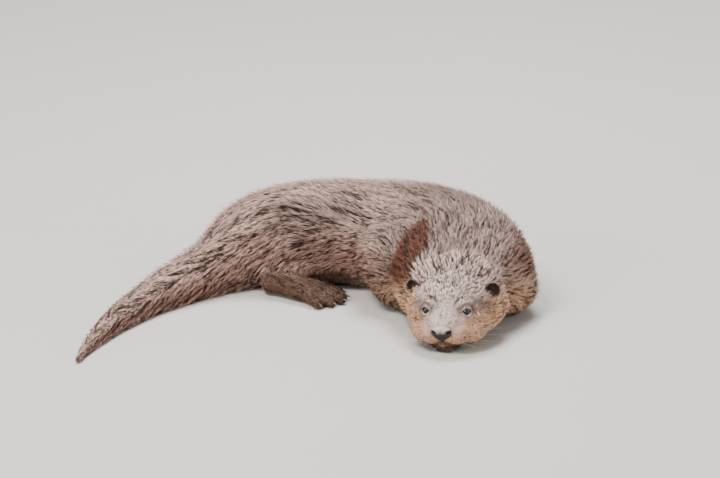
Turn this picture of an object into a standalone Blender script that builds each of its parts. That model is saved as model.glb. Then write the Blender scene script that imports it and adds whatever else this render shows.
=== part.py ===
"""A resting otter, life size, as a still museum model.

The animal lies on its belly, curled to its right: head and chin on the floor, neck and
shoulders behind them, trunk swung round to the side, and the thick tail coming forward again.
Broad rounded forms are fused and softened first, then the smaller forms of the face are added
and fused in, and the finished body is parted into named pieces with thin cuts. Each leg is a form
of its own, cut to fit the body. Eyes, nose, ears and claws sit a hair's breadth off the flesh.

Frame: metres, +Z up, the face looks along -Y, the trunk runs towards -X, and the origin is the
middle of the bounding box's underside.
"""

import math
from collections import namedtuple

import bmesh
import bpy
import numpy as np
from mathutils import Matrix, Vector

# ---------------------------------------------------------------- driving sizes
TRUNK_HALF_WIDTH = 0.081
BACK_HEIGHT = 0.123
TAIL_ROOT_HALF_WIDTH = 0.037
EYE_RADIUS = 0.0060
NOSE_DROP = 0.0335  # from the middle of the nose down to the floor
HEAD_YAW = math.radians(14)
HEAD_PITCH = math.radians(8)
HEAD_ROLL = math.radians(2.5)
NOSE_PLACE = Vector((-0.007, 0.0, NOSE_DROP))
SUNK = 0.0015  # how far the forms reach below the floor before the flats are cut

# ---------------------------------------------------------------- surfaces and cuts
BROAD_VOXEL = 0.0040
BROAD_PASSES = 14
FINE_VOXEL = 0.0020
FINE_PASSES = 7
LEG_VOXEL = 0.0018
LEG_PASSES = 4
BODY_TRIANGLES = 3600
LEG_TRIANGLES = 350
GAP = 0.0003
MERGE = 2e-5
FLAT_WITHIN = 0.0003  # anything lower than this is pressed down to the floor
FLAT_ANGLE = math.radians(0.5)
TINY_VOLUME = 2e-8


def clear_scene():
    for obj in list(bpy.data.objects):
        bpy.data.objects.remove(obj)


# ---------------------------------------------------------------- basic forms
def ellipsoid(bm, centre, radii, turn=None, detail=3):
    """A squashed ball, with its radii along its own axes."""
    place = Matrix.Translation(centre) @ (turn or Matrix.Identity(4)) @ Matrix.Diagonal((*radii, 1))
    bmesh.ops.create_icosphere(bm, subdivisions=detail, radius=1, matrix=place)


def rounded_hull(bm, balls, detail=2):
    """The smooth bag stretched round a few balls, each given as (centre, radius)."""
    part = bmesh.new()
    for centre, radius in balls:
        ellipsoid(part, Vector(centre), (radius, radius, radius), detail=detail)
    bmesh.ops.delete(part, geom=part.faces[:] + part.edges[:], context="EDGES_FACES")
    bmesh.ops.convex_hull(part, input=part.verts)
    bmesh.ops.delete(part, geom=[v for v in part.verts if not v.link_faces], context="VERTS")
    mesh = bpy.data.meshes.new("hull")
    part.to_mesh(mesh)
    part.free()
    bm.from_mesh(mesh)
    bpy.data.meshes.remove(mesh)


# ---------------------------------------------------------------- neck, trunk and tail
Station = namedtuple("Station", "x y half_width bottom top")

SPINE = (
    Station(0.004, 0.060, 0.038, 0.020, 0.064),
    Station(0.008, 0.098, 0.062, 0.016, 0.092),
    Station(0.011, 0.140, 0.077, 0.011, 0.107),
    Station(0.015, 0.185, 0.088, -SUNK, BACK_HEIGHT - 0.006),
    Station(0.012, 0.240, TRUNK_HALF_WIDTH + 0.006, -SUNK, BACK_HEIGHT + 0.003),
    Station(-0.031, 0.296, TRUNK_HALF_WIDTH + 0.001, -SUNK, BACK_HEIGHT + 0.004),
    Station(-0.105, 0.325, TRUNK_HALF_WIDTH - 0.003, -SUNK, BACK_HEIGHT),
    Station(-0.180, 0.326, TRUNK_HALF_WIDTH - 0.004, -SUNK, BACK_HEIGHT - 0.003),
    Station(-0.240, 0.304, 0.063, -SUNK, 0.107),
    Station(-0.287, 0.262, TAIL_ROOT_HALF_WIDTH, -SUNK, 0.066),
    Station(-0.345, 0.195, 0.027, -SUNK, 0.046),
    Station(-0.390, 0.115, 0.020, -SUNK, 0.034),
    Station(-0.420, 0.035, 0.013, -SUNK, 0.023),
    Station(-0.436, -0.030, 0.007, -SUNK, 0.012),
)
RINGS_PER_STATION = 8
RING_POINTS = 32
BACK_ROUNDNESS = 2.1
BELLY_ROUNDNESS = 2.9
WIDEST_AT = 0.40  # height of the widest line, as a share of the body's height


def smooth_rows(rows, steps):
    """Catmull-Rom curve through the rows of a table, sampled steps times between rows."""
    table = np.array(rows, float)
    padded = np.vstack((2 * table[0] - table[1], table, 2 * table[-1] - table[-2]))
    out = []
    for i in range(len(table) - 1):
        a, b, c, d = padded[i : i + 4]
        for t in np.arange(steps) / steps:
            out.append(
                b
                + 0.5 * t * (c - a)
                + t * t * (a - 2.5 * b + 2 * c - 0.5 * d)
                + t**3 * (1.5 * (b - c) + 0.5 * (d - a))
            )
    out.append(table[-1])
    return np.array(out)


def superellipse(angle, power):
    """cos and sin of the angle, pushed outwards so that the section grows squarer with power."""
    c, s = math.cos(angle), math.sin(angle)
    return (
        math.copysign(abs(c) ** (2 / power), c),
        math.copysign(abs(s) ** (2 / power), s),
    )


def add_trunk(bm):
    """Upright rings along the spine, bridged into one tube with closed ends."""
    rows = smooth_rows(SPINE, RINGS_PER_STATION)
    along = np.gradient(rows[:, :2], axis=0)
    along /= np.linalg.norm(along, axis=1)[:, None]
    rings = []
    for (x, y, half_width, bottom, top), (tx, ty) in zip(rows, along):
        middle = bottom + WIDEST_AT * (top - bottom)
        ring = []
        for k in range(RING_POINTS):
            angle = 2 * math.pi * k / RING_POINTS
            upper = math.sin(angle) >= 0
            c, s = superellipse(angle, BACK_ROUNDNESS if upper else BELLY_ROUNDNESS)
            height = top - middle if upper else middle - bottom
            place = (x - ty * half_width * c, y + tx * half_width * c, middle + height * s)
            ring.append(bm.verts.new(place))
        rings.append(ring)
    for a, b in zip(rings, rings[1:]):
        for k in range(RING_POINTS):
            n = (k + 1) % RING_POINTS
            bm.faces.new((a[k], a[n], b[n], b[k]))
    bm.faces.new(rings[0][::-1])
    bm.faces.new(rings[-1])


# Muscle under the coat where the legs leave the trunk: centre, radii and turn about the vertical.
MUSCLES = {
    "shoulder_left": ((0.064, 0.190, 0.050), (0.046, 0.068, 0.048), 0),
    "upper_arm_left": ((0.078, 0.172, 0.034), (0.037, 0.056, 0.033), 0),
    "neck_side_left": ((0.058, 0.138, 0.042), (0.032, 0.046, 0.034), 0),
    "shoulder_right": ((-0.058, 0.218, 0.055), (0.047, 0.048, 0.047), 20),
    "upper_arm_right": ((-0.060, 0.192, 0.034), (0.031, 0.038, 0.031), 0),
    "thigh_right": ((-0.185, 0.290, 0.046), (0.062, 0.044, 0.046), 10),
    "thigh_left": ((-0.172, 0.375, 0.046), (0.062, 0.040, 0.046), 10),
}


def add_muscles(bm):
    for centre, radii, turn in MUSCLES.values():
        ellipsoid(bm, Vector(centre), radii, Matrix.Rotation(math.radians(turn), 4, "Z"))


# ---------------------------------------------------------------- head
HEAD = (
    Matrix.Translation(NOSE_PLACE)
    @ Matrix.Rotation(-HEAD_YAW, 4, "Z")
    @ Matrix.Rotation(HEAD_PITCH, 4, "X")
    @ Matrix.Rotation(-HEAD_ROLL, 4, "Y")
)
HEAD_TURN = HEAD.to_3x3().to_4x4()
SIDES = {"left": 1, "right": -1}

# Each form: centre behind the middle of the nose, and radii. A centre off the middle line is made
# twice, once on each side.
BROAD_HEAD = {
    "cranium": ((0, 0.080, 0.004), (0.048, 0.050, 0.037)),
    "nape": ((0, 0.112, 0.010), (0.056, 0.048, 0.042)),
    "cheek": ((0.028, 0.080, -0.009), (0.032, 0.044, 0.029)),
    "jaw": ((0, 0.052, -0.022), (0.038, 0.040, 0.0175)),
}
FINE_HEAD = {
    "forehead": ((0, 0.0625, 0.006), (0.037, 0.036, 0.021)),
    "bridge": ((0, 0.034, 0.003), (0.0195, 0.033, 0.0115)),
    "muzzle": ((0, 0.032, -0.009), (0.031, 0.029, 0.0185)),
    "chin": ((0, 0.024, -0.0270), (0.0200, 0.018, 0.0110)),
    "whisker pad": ((0.0155, 0.0210, -0.0115), (0.0195, 0.0175, 0.0140)),
    "brow": ((0.0230, 0.0535, 0.0105), (0.0125, 0.0145, 0.0075)),
    "cheekbone": ((0.0330, 0.0580, -0.0070), (0.0215, 0.0270, 0.0200)),
    "jowl": ((0.0260, 0.0430, -0.0155), (0.0220, 0.0280, 0.0170)),
}
EYE = (0.0240, 0.0385, 0.0082)
EAR = (0.0485, 0.0745, 0.0192)
EAR_RADII = (0.0084, 0.0050, 0.0092)
EAR_HOLLOW = (0.0056, 0.0046, 0.0064)
NOSE_BALLS = (
    ((0.0082, 0.0062, 0.0030), 0.0046),
    ((-0.0082, 0.0062, 0.0030), 0.0046),
    ((0, 0.0058, 0.0018), 0.0062),
    ((0, 0.0064, -0.0066), 0.0046),
)
NOSTRIL = ((0.0084, 0.0012, 0.0002), (0.0022, 0.0044, 0.0032))


def add_head_forms(bm, forms):
    for (x, y, z), radii in forms.values():
        for side in {1, -1} if x else {1}:
            ellipsoid(bm, HEAD @ Vector((side * x, y, z)), radii, HEAD_TURN)


# ---------------------------------------------------------------- legs and feet
Leg = namedtuple("Leg", "joints paw_from paw_to half_width toe_length toe_fan toe_radius")
TOES = 5
WEB_RADIUS = 0.0018
CLAW_LENGTH = 0.0085
CLAW_RADIUS = 0.0015
CLAW_SIDES = 6
CLAW_SLOPE = 0.25
CLAW_RISE = 0.0012


def foreleg(elbow, wrist, palm):
    wrist, palm = Vector(wrist), Vector(palm)
    return Leg(((Vector(elbow), 0.024), (wrist, 0.0165)), wrist, palm, 0.017, 0.021, 50, 0.0056)


def hindleg(knee, heel, sole):
    heel, sole = Vector(heel), Vector(sole)
    return Leg(((Vector(knee), 0.028), (heel, 0.0165)), heel, sole, 0.021, 0.034, 56, 0.0062)


LEGS = {
    "foreleg_right": foreleg((-0.056, 0.200, 0.026), (-0.034, 0.152, 0.0165), (-0.021, 0.126, 0.0110)),
    "foreleg_left": foreleg((0.084, 0.180, 0.026), (0.055, 0.143, 0.0165), (0.040, 0.118, 0.0110)),
    "hindleg_right": hindleg((-0.150, 0.286, 0.030), (-0.208, 0.248, 0.0175), (-0.154, 0.220, 0.0115)),
    "hindleg_left": hindleg((-0.142, 0.398, 0.030), (-0.206, 0.418, 0.0175), (-0.150, 0.438, 0.0115)),
}


def directions(leg):
    ahead = leg.paw_to - leg.paw_from
    ahead.z = 0
    ahead.normalize()
    return ahead, Vector((0, 0, 1)).cross(ahead)


def toes(leg):
    """Root, tip and direction of each toe, fanned out in front of the palm or sole."""
    ahead, across = directions(leg)
    found = []
    for k in range(TOES):
        share = k / (TOES - 1) - 0.5
        turn = math.radians(leg.toe_fan) * share
        way = ahead * math.cos(turn) + across * math.sin(turn)
        side = across * (1.6 * leg.half_width * share)
        root = leg.paw_to + side - ahead * (0.6 * leg.half_width * abs(share))
        tip = root + way * leg.toe_length * (1 - 0.9 * share * share)
        tip.z = leg.toe_radius - SUNK / 2
        found.append((root, tip, way))
    return found


def add_paw(bm, leg):
    _, across = directions(leg)
    side = across * (leg.half_width - 0.008)
    heel = (leg.paw_from, leg.joints[-1][1] * 0.85)
    rounded_hull(bm, (heel, (leg.paw_to + side, 0.0108), (leg.paw_to - side, 0.0108)))
    row = toes(leg)
    for root, tip, _ in row:
        knuckle = root.lerp(tip, 0.45) + Vector((0, 0, leg.toe_radius * 0.35))
        rounded_hull(bm, ((root, leg.toe_radius * 1.1), (knuckle, leg.toe_radius)))
        rounded_hull(bm, ((knuckle, leg.toe_radius), (tip, leg.toe_radius)))
    for (root_a, tip_a, _), (root_b, tip_b, _) in zip(row, row[1:]):
        web = (root_a, root_b, root_a.lerp(tip_a, 0.75), root_b.lerp(tip_b, 0.75))
        rounded_hull(bm, [((p.x, p.y, 0.0045), WEB_RADIUS) for p in web])


def claw_bodies(leg, grow):
    """One short spike out of the end of each toe; grow widens it for use as a cutter."""
    for _, tip, way in toes(leg):
        bm = bmesh.new()
        slope = (way - Vector((0, 0, CLAW_SLOPE))).normalized()
        middle = tip + way * (leg.toe_radius - 0.0045) + slope * CLAW_LENGTH / 2
        middle.z += CLAW_RISE
        turn = slope.to_track_quat("Z", "Y").to_matrix().to_4x4()
        bmesh.ops.create_cone(
            bm,
            cap_ends=True,
            cap_tris=False,
            segments=CLAW_SIDES,
            radius1=CLAW_RADIUS + grow,
            radius2=CLAW_RADIUS * 0.2 + grow,
            depth=CLAW_LENGTH + 2 * grow,
            matrix=Matrix.Translation(middle) @ turn,
        )
        yield bm


# ---------------------------------------------------------------- objects and their finish
def new_object(name, bm):
    mesh = bpy.data.meshes.new(name)
    bm.to_mesh(mesh)
    bm.free()
    obj = bpy.data.objects.new(name, mesh)
    bpy.context.scene.collection.objects.link(obj)
    return obj


def freeze(obj):
    """Turns an object's modifiers into its own mesh."""
    graph = bpy.context.evaluated_depsgraph_get()
    mesh = bpy.data.meshes.new_from_object(obj.evaluated_get(graph))
    obj.modifiers.clear()
    old = obj.data
    obj.data = mesh
    bpy.data.meshes.remove(old)
    return obj


def fuse(obj, voxel, passes):
    """One closed surface round all the forms in obj, with its creases softened."""
    remesh = obj.modifiers.new("fuse", "REMESH")
    remesh.mode = "VOXEL"
    remesh.voxel_size = voxel
    soften = obj.modifiers.new("soften", "SMOOTH")
    soften.factor = 0.5
    soften.iterations = passes
    return freeze(obj)


def cut_away(obj, cutter):
    """Takes the cutter's space out of obj, and removes the cutter."""
    cut = obj.modifiers.new("cut", "BOOLEAN")
    cut.operation = "DIFFERENCE"
    cut.solver = "EXACT"
    cut.object = cutter
    freeze(obj)
    bpy.data.objects.remove(cutter)
    return tidy(obj)


def drop_fins(bm):
    """Removes pairs of faces that lie back to back on the same corners, and any loose ends."""
    first = {}
    fins = []
    for face in bm.faces:
        corners = frozenset(face.verts)
        if corners in first:
            fins += [face, first.pop(corners)]
        else:
            first[corners] = face
    bmesh.ops.delete(bm, geom=fins, context="FACES_ONLY")
    bmesh.ops.delete(bm, geom=[e for e in bm.edges if not e.link_faces], context="EDGES")
    bmesh.ops.delete(bm, geom=[v for v in bm.verts if not v.link_faces], context="VERTS")


def tidy(obj):
    """Closes up the hair-thin faces that a cut can leave."""
    bm = bmesh.new()
    bm.from_mesh(obj.data)
    bmesh.ops.triangulate(bm, faces=bm.faces)
    bmesh.ops.dissolve_degenerate(bm, dist=MERGE, edges=bm.edges)
    bmesh.ops.remove_doubles(bm, verts=bm.verts, dist=MERGE)
    drop_fins(bm)
    bmesh.ops.dissolve_limit(bm, angle_limit=FLAT_ANGLE, verts=bm.verts, edges=bm.edges)
    bmesh.ops.triangulate(bm, faces=bm.faces)
    drop_fins(bm)
    bm.to_mesh(obj.data)
    bm.free()
    return obj


def rest_and_thin(obj, triangles):
    """Presses the underside flat on the floor, and leaves about as many triangles as asked."""
    for vert in obj.data.vertices:
        vert.co.z = max(vert.co.z, 0)
    reduce = obj.modifiers.new("thin", "DECIMATE")
    reduce.ratio = triangles / (2 * len(obj.data.polygons))
    freeze(obj)
    for vert in obj.data.vertices:
        if vert.co.z < FLAT_WITHIN:
            vert.co.z = 0
    return tidy(obj)


def grown(obj, by):
    """A copy of obj with its surface moved outwards."""
    bm = bmesh.new()
    bm.from_mesh(obj.data)
    bm.normal_update()
    for vert, normal in [(v, v.normal.copy()) for v in bm.verts]:
        vert.co += normal * by
    return new_object("cutter", bm)


def part_loose(obj, seeds):
    """Parts obj into its separate bodies and names each after the nearest seed point."""
    bm = bmesh.new()
    bm.from_mesh(obj.data)
    left = set(bm.verts)
    while left:
        island, edge_of = set(), {left.pop()}
        while edge_of:
            island |= edge_of
            edge_of = {e.other_vert(v) for v in edge_of for e in v.link_edges} - island
        left -= island
        body = bmesh.new()
        copies = {v: body.verts.new(v.co) for v in sorted(island, key=lambda v: v.index)}
        for face in bm.faces:
            if face.verts[0] in island:
                body.faces.new([copies[v] for v in face.verts])
        if body.calc_volume() < TINY_VOLUME:
            body.free()
            continue
        middle = sum((v.co for v in body.verts), Vector()) / len(body.verts)
        name = min(seeds, key=lambda seed: (Vector(seeds[seed]) - middle).length)
        new_object(name, body)
    bm.free()
    bpy.data.objects.remove(obj)


# ---------------------------------------------------------------- thin cuts through the body
Cut = namedtuple("Cut", "place ahead half_width")
HEAD_CUT = 0.104
BODY_CUTS = (
    Cut(HEAD @ Vector((0, HEAD_CUT, 0)), HEAD_TURN @ Vector((0, 1, 0)), 0.110),
    Cut((0.012, 0.170, 0.05), (0.05, 1, 0), 0.150),
    Cut((-0.045, 0.303, 0.05), (-0.90, 0.42, 0), 0.130),
    Cut((-0.145, 0.327, 0.05), (-1, 0.04, 0), 0.120),
    Cut((-0.266, 0.283, 0.05), (-0.76, -0.65, 0), 0.090),
    Cut((-0.345, 0.195, 0.03), (-0.58, -0.81, 0), 0.060),
    Cut((-0.398, 0.095, 0.03), (-0.38, -0.92, 0), 0.050),
)
BODY_SEEDS = {
    "head": (0.003, 0.055, 0.035),
    "neck": (0.012, 0.135, 0.050),
    "chest": (0.005, 0.235, 0.060),
    "belly": (-0.100, 0.325, 0.060),
    "hips": (-0.200, 0.315, 0.055),
    "tail_base": (-0.305, 0.240, 0.030),
    "tail_middle": (-0.373, 0.147, 0.020),
    "tail_tip": (-0.420, 0.030, 0.012),
}


def slab(bm, place, ahead, half_width, thickness=GAP):
    """A thin upright board across the body, square to the way ahead."""
    turn = Vector(ahead).to_track_quat("Y", "Z").to_matrix().to_4x4()
    size = Matrix.Diagonal((2 * half_width, thickness, 0.5, 1))
    bmesh.ops.create_cube(bm, size=1, matrix=Matrix.Translation(place) @ turn @ size)


# ---------------------------------------------------------------- colours
COLOURS = {
    "coat": ((0.205, 0.150, 0.118), 0.65),
    "ear": ((0.060, 0.040, 0.030), 0.75),
    "nose": ((0.110, 0.088, 0.080), 0.35),
    "eye": ((0.012, 0.008, 0.006), 0.08),
    "claw": ((0.110, 0.080, 0.060), 0.40),
}


def paint(obj):
    """Gives each body its own plain material, by the kind of thing it is."""
    kind = obj.name.split("_")[0]
    colour, roughness = COLOURS.get(kind, COLOURS["coat"])
    material = bpy.data.materials.new(obj.name)
    material.use_nodes = True
    surface = material.node_tree.nodes["Principled BSDF"]
    surface.inputs["Base Color"].default_value = (*colour, 1)
    surface.inputs["Roughness"].default_value = roughness
    obj.data.materials.clear()
    obj.data.materials.append(material)


# ---------------------------------------------------------------- the animal
def make_body():
    broad = bmesh.new()
    add_trunk(broad)
    add_muscles(broad)
    add_head_forms(broad, BROAD_HEAD)
    body = fuse(new_object("body", broad), BROAD_VOXEL, BROAD_PASSES)
    fine = bmesh.new()
    fine.from_mesh(body.data)
    add_head_forms(fine, FINE_HEAD)
    bpy.data.objects.remove(body)
    body = fuse(new_object("body", fine), FINE_VOXEL, FINE_PASSES)
    return rest_and_thin(body, BODY_TRIANGLES)


def make_legs(around):
    for name, leg in LEGS.items():
        bm = bmesh.new()
        rounded_hull(bm, leg.joints)
        add_paw(bm, leg)
        limb = fuse(new_object("limb", bm), LEG_VOXEL, LEG_PASSES)
        rest_and_thin(limb, LEG_TRIANGLES)
        cut_away(limb, grown(around, GAP))
        cutter = bmesh.new()
        ahead, _ = directions(leg)
        slab(cutter, leg.paw_from + ahead * 0.004, ahead, 0.040)
        cut_away(limb, new_object("cutter", cutter))
        part, side = name.split("_")
        foot = "forepaw" if part == "foreleg" else "hindfoot"
        for claw in claw_bodies(leg, GAP):
            cut_away(limb, new_object("cutter", claw))
        for k, claw in enumerate(claw_bodies(leg, 0)):
            new_object(f"claw_{foot}_{side}_{k + 1}", claw)
        limb_seed = leg.joints[0][0].lerp(leg.joints[1][0], 0.6)
        foot_seed = leg.paw_to + ahead * 0.01
        part_loose(limb, {name: limb_seed, f"{foot}_{side}": foot_seed})


def make_nose(body):
    for name, grow in (("cutter", GAP), ("nose", 0)):
        bm = bmesh.new()
        rounded_hull(bm, [(HEAD @ Vector(place), radius + grow) for place, radius in NOSE_BALLS])
        nose = new_object(name, bm)
        if name == "cutter":
            cut_away(body, nose)
    (x, y, z), radii = NOSTRIL
    for side in SIDES.values():
        bm = bmesh.new()
        ellipsoid(bm, HEAD @ Vector((side * x, y, z)), radii, HEAD_TURN, detail=2)
        cut_away(nose, new_object("cutter", bm))


def make_eyes(body):
    x, y, z = EYE
    for word, side in SIDES.items():
        for name, grow in (("cutter", GAP), (f"eye_{word}", 0)):
            bm = bmesh.new()
            radius = EYE_RADIUS + grow
            ellipsoid(bm, HEAD @ Vector((side * x, y, z)), (radius,) * 3, HEAD_TURN, detail=2)
            eye = new_object(name, bm)
            if name == "cutter":
                cut_away(body, eye)


def make_ears(around):
    """A rounded flap with a hollow front, standing off each side of the head."""
    x, y, z = EAR
    for word, side in SIDES.items():
        turn = HEAD_TURN @ Matrix.Rotation(math.radians(side * 25), 4, "Z")
        bm = bmesh.new()
        ellipsoid(bm, HEAD @ Vector((side * x, y, z)), EAR_RADII, turn, detail=2)
        ear = new_object(f"ear_{word}", bm)
        bm = bmesh.new()
        hollow = HEAD @ Vector((side * (x + 0.0006), y - 0.0044, z - 0.0004))
        ellipsoid(bm, hollow, EAR_HOLLOW, turn, detail=2)
        cut_away(ear, new_object("cutter", bm))
        cut_away(ear, grown(around, GAP))


def part_body(body):
    cutter = bmesh.new()
    for cut in BODY_CUTS:
        slab(cutter, cut.place, cut.ahead, cut.half_width)
    cut_away(body, new_object("cutter", cutter))
    part_loose(body, BODY_SEEDS)


def settle():
    """Moves everything so that the middle of the bounding box's underside is the origin."""
    bodies = [obj for obj in bpy.data.objects if obj.type == "MESH"]
    points = np.concatenate([np.array([v.co for v in obj.data.vertices]) for obj in bodies])
    low, high = points.min(axis=0), points.max(axis=0)
    shift = Vector((-(low[0] + high[0]) / 2, -(low[1] + high[1]) / 2, -low[2]))
    for obj in bodies:
        obj.data.transform(Matrix.Translation(shift))
        paint(obj)


def main():
    clear_scene()
    body = make_body()
    make_legs(body)
    make_ears(body)
    make_eyes(body)
    make_nose(body)
    part_body(body)
    settle()


main()
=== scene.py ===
"""Dresses the solids of a resting otter: skin, coat, eyes, nose, ears, whiskers, claws and stage.

One smooth skin is drawn over all the flesh, inside the solids by the depth of the coat. The coat
is made of locks: small groups of tapering tufts whose points lean together. Every tuft follows a
flow field that runs from the nose over the body to the end of the tail and down each foot.
Lengths are in metres. The head has its own frame: x to the animal's left, y back from the nose
tip, z up out of the crown.
"""

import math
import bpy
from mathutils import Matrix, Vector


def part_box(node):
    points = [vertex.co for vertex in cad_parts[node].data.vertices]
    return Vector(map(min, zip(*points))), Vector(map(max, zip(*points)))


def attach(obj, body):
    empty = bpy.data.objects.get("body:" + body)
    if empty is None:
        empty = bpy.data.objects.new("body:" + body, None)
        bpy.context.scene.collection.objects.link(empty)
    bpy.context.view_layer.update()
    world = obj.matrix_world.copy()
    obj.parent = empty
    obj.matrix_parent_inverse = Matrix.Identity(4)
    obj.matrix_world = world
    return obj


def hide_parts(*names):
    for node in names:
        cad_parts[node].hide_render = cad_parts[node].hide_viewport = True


bl_info = {
    "name": "Resting otter",
    "version": (1, 0, 0),
    "blender": (4, 5, 0),
    "location": "3D View > Sidebar > Otter",
    "description": "Dresses the solids of a resting otter with skin, coat and features",
    "category": "Add Mesh",
}

import bmesh
import bpy
import numpy as np
from bpy.props import FloatProperty, FloatVectorProperty, IntProperty, PointerProperty
from bpy.types import Operator, Panel, PropertyGroup
from mathutils import Euler, Matrix, Vector
from mathutils.bvhtree import BVHTree

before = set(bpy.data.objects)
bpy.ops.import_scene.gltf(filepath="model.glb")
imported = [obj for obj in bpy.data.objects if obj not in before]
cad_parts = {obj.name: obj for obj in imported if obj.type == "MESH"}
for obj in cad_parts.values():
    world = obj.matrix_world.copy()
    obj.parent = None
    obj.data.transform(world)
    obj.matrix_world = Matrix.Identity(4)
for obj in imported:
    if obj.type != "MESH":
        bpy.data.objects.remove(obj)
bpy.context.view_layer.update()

BODY = "root"
TRUNK = ("head", "neck", "chest", "belly", "hips", "tail_base", "tail_middle", "tail_tip")
FEET = ("forepaw_left", "forepaw_right", "hindfoot_left", "hindfoot_right")
LEGS = ("foreleg_left", "foreleg_right", "hindleg_left", "hindleg_right")
SIDES = {"left": 1, "right": -1}
WORDS = {side: word for word, side in SIDES.items()}

# The head's own frame: how it is turned, and where the eyes sit behind the nose tip.
HEAD_YAW = math.radians(14)
HEAD_PITCH = math.radians(8)
HEAD_ROLL = math.radians(2.5)
EYES_BEHIND = Vector((0, 0.0385, 0.0082))

UP = np.array((0, 0, 1.0))
FULL_TURN = 2 * math.pi
TINY = 1e-12

# The grain of the coat: where its cells start, its largest scrambled number, and the factors
# that bring its spread, and that of the streaks drawn from it, near 1.
GRAIN_START = 1000.0
LARGEST = 0xFFFFFFFF
GRAIN_SPREAD = 5.0
STREAK_STEPS = 8
STREAK_SPREAD = 2.8
STREAK_SEED = 31


# ---------------------------------------------------------------- small sums
def linear(red, green, blue):
    """An 8-bit screen colour as scene-linear values, by the usual power of 2.4 above the toe."""
    share = np.array((red, green, blue)) / 255
    return tuple(np.where(share < 0.04045, share / 12.92, ((share + 0.055) / 1.055) ** 2.4))


def ramp(values, low, high):
    """0 below low, 1 above high, and a smooth cubic step between them."""
    t = np.clip((values - low) / (high - low), 0, 1)
    return t * t * (3 - 2 * t)


def fall(values, low, high):
    """1 below low, 0 above high, and the same smooth step between them."""
    return 1 - ramp(values, low, high)


def blend(a, b, share):
    """a where share is 0, b where it is 1, mixed evenly between them; one share serves the three
    values of a colour or a place."""
    a, b, share = np.asarray(a), np.asarray(b), np.asarray(share)
    if max(a.ndim, b.ndim) and 3 in (*a.shape[-1:], *b.shape[-1:]):
        share = share[..., None]
    return a + (b - a) * share


def unit(vectors):
    """Each row divided by its own length."""
    return vectors / np.maximum(np.linalg.norm(vectors, axis=-1, keepdims=True), TINY)


def along_surface(vectors, normals):
    """Each vector less its part along the normal, made one unit long."""
    return unit(vectors - normals * np.sum(vectors * normals, axis=-1, keepdims=True))


def bump(points, centre, reach):
    """A round hump: e to the minus squared distance from the centre, in units of the reach."""
    away = (points - np.asarray(centre)) / np.asarray(reach)
    return np.exp(-np.sum(away * away, axis=-1))


def humps(points, spots):
    """The highest of several soft humps, each a place and its reach in millimetres."""
    return np.max([bump(points, spot[:3], spot[3:]) for spot in np.array(spots) / 1000], axis=0)


def bell(values, middle, reach):
    """1 at the middle, falling off on both sides: e to the minus squared distance in reaches."""
    return np.exp(-(((values - middle) / reach) ** 2))


def length_of(vectors):
    """Length of each row."""
    return np.linalg.norm(vectors, axis=1)


def circle(count):
    """Evenly spaced angles once round, without the last, which is the first again."""
    return np.linspace(0, FULL_TURN, count, endpoint=False)


def ripple(points, scale, seed):
    """Slow waves between -1 and 1: four sines along turned directions, averaged."""
    turn = np.random.default_rng(seed)
    ways = unit(turn.normal(size=(4, 3))) * scale * np.array([[1.0], [1.3], [1.7], [2.3]])
    return np.sin(points @ ways.T + turn.uniform(0, 6.28, 4)).mean(axis=-1)


def grain(points, seed):
    """Smooth random values, near 0 with spread 1, that change over one unit of length.

    Each corner of a grid of unit cells gets a scrambled number from its three indices, and the
    eight corners round a point are mixed by the smooth step of its place in the cell.
    """
    at = points + GRAIN_START
    low = np.floor(at).astype(np.int64)
    part = at - low
    part = part * part * (3 - 2 * part)
    total = np.zeros(points.shape[:-1])
    for corner in np.ndindex(2, 2, 2):
        x, y, z = (low[..., k] + corner[k] for k in range(3))
        scrambled = (x * 73856093) ^ (y * 19349663) ^ (z * 83492791) ^ (seed * 2654435761)
        for shift, factor in ((13, 1274126177), (15, 2246822519)):
            scrambled = ((scrambled ^ (scrambled >> shift)) * factor) & LARGEST
        share = np.prod([part[..., k] if corner[k] else 1 - part[..., k] for k in range(3)], axis=0)
        total += share * (scrambled / LARGEST)
    return (total - 0.5) * GRAIN_SPREAD


def streaks(points, ways, cell, reach):
    """Random values drawn out along the lie of the hair: the mean of the grain at seventeen
    places along the way, from one reach before the point to one reach after it."""
    total = np.zeros(len(points))
    for k in range(-STREAK_STEPS, STREAK_STEPS + 1):
        place = points + ways * (reach * k / STREAK_STEPS)[:, None]
        total += grain(place / cell[:, None], STREAK_SEED)
    return total / (2 * STREAK_STEPS + 1) * STREAK_SPREAD


# ---------------------------------------------------------------- meshes in and out
def new_mesh_object(name, points, faces, smooth=True):
    """An object at the origin from an array of points and an array of faces, all alike."""
    mesh = bpy.data.meshes.new(name)
    count, size = faces.shape
    mesh.vertices.add(len(points))
    mesh.vertices.foreach_set("co", np.ascontiguousarray(points, np.float32).ravel())
    mesh.loops.add(count * size)
    mesh.loops.foreach_set("vertex_index", np.ascontiguousarray(faces, np.int32).ravel())
    mesh.polygons.add(count)
    mesh.polygons.foreach_set("loop_start", np.arange(0, count * size, size, dtype=np.int32))
    mesh.polygons.foreach_set("use_smooth", np.full(count, smooth))
    mesh.update(calc_edges=True)
    obj = bpy.data.objects.new(name, mesh)
    link(obj)
    return obj


def link(obj):
    """Puts a new object into the scene."""
    bpy.context.scene.collection.objects.link(obj)


def set_points(mesh, points):
    """Moves every vertex to its row of the array."""
    mesh.vertices.foreach_set("co", np.ascontiguousarray(points, np.float32).ravel())
    mesh.update()


def read(items, key, width, kind=np.float32):
    """One stored value of every item of a mesh, as an array with a row for each item."""
    values = np.empty(len(items) * width, kind)
    items.foreach_get(key, values)
    return values.reshape(-1, width)


def get_points(mesh):
    return read(mesh.vertices, "co", 3).astype(float)


def get_normals(mesh):
    return read(mesh.vertex_normals, "vector", 3).astype(float)


def get_edges(mesh):
    return read(mesh.edges, "vertices", 2, np.int32)


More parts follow.
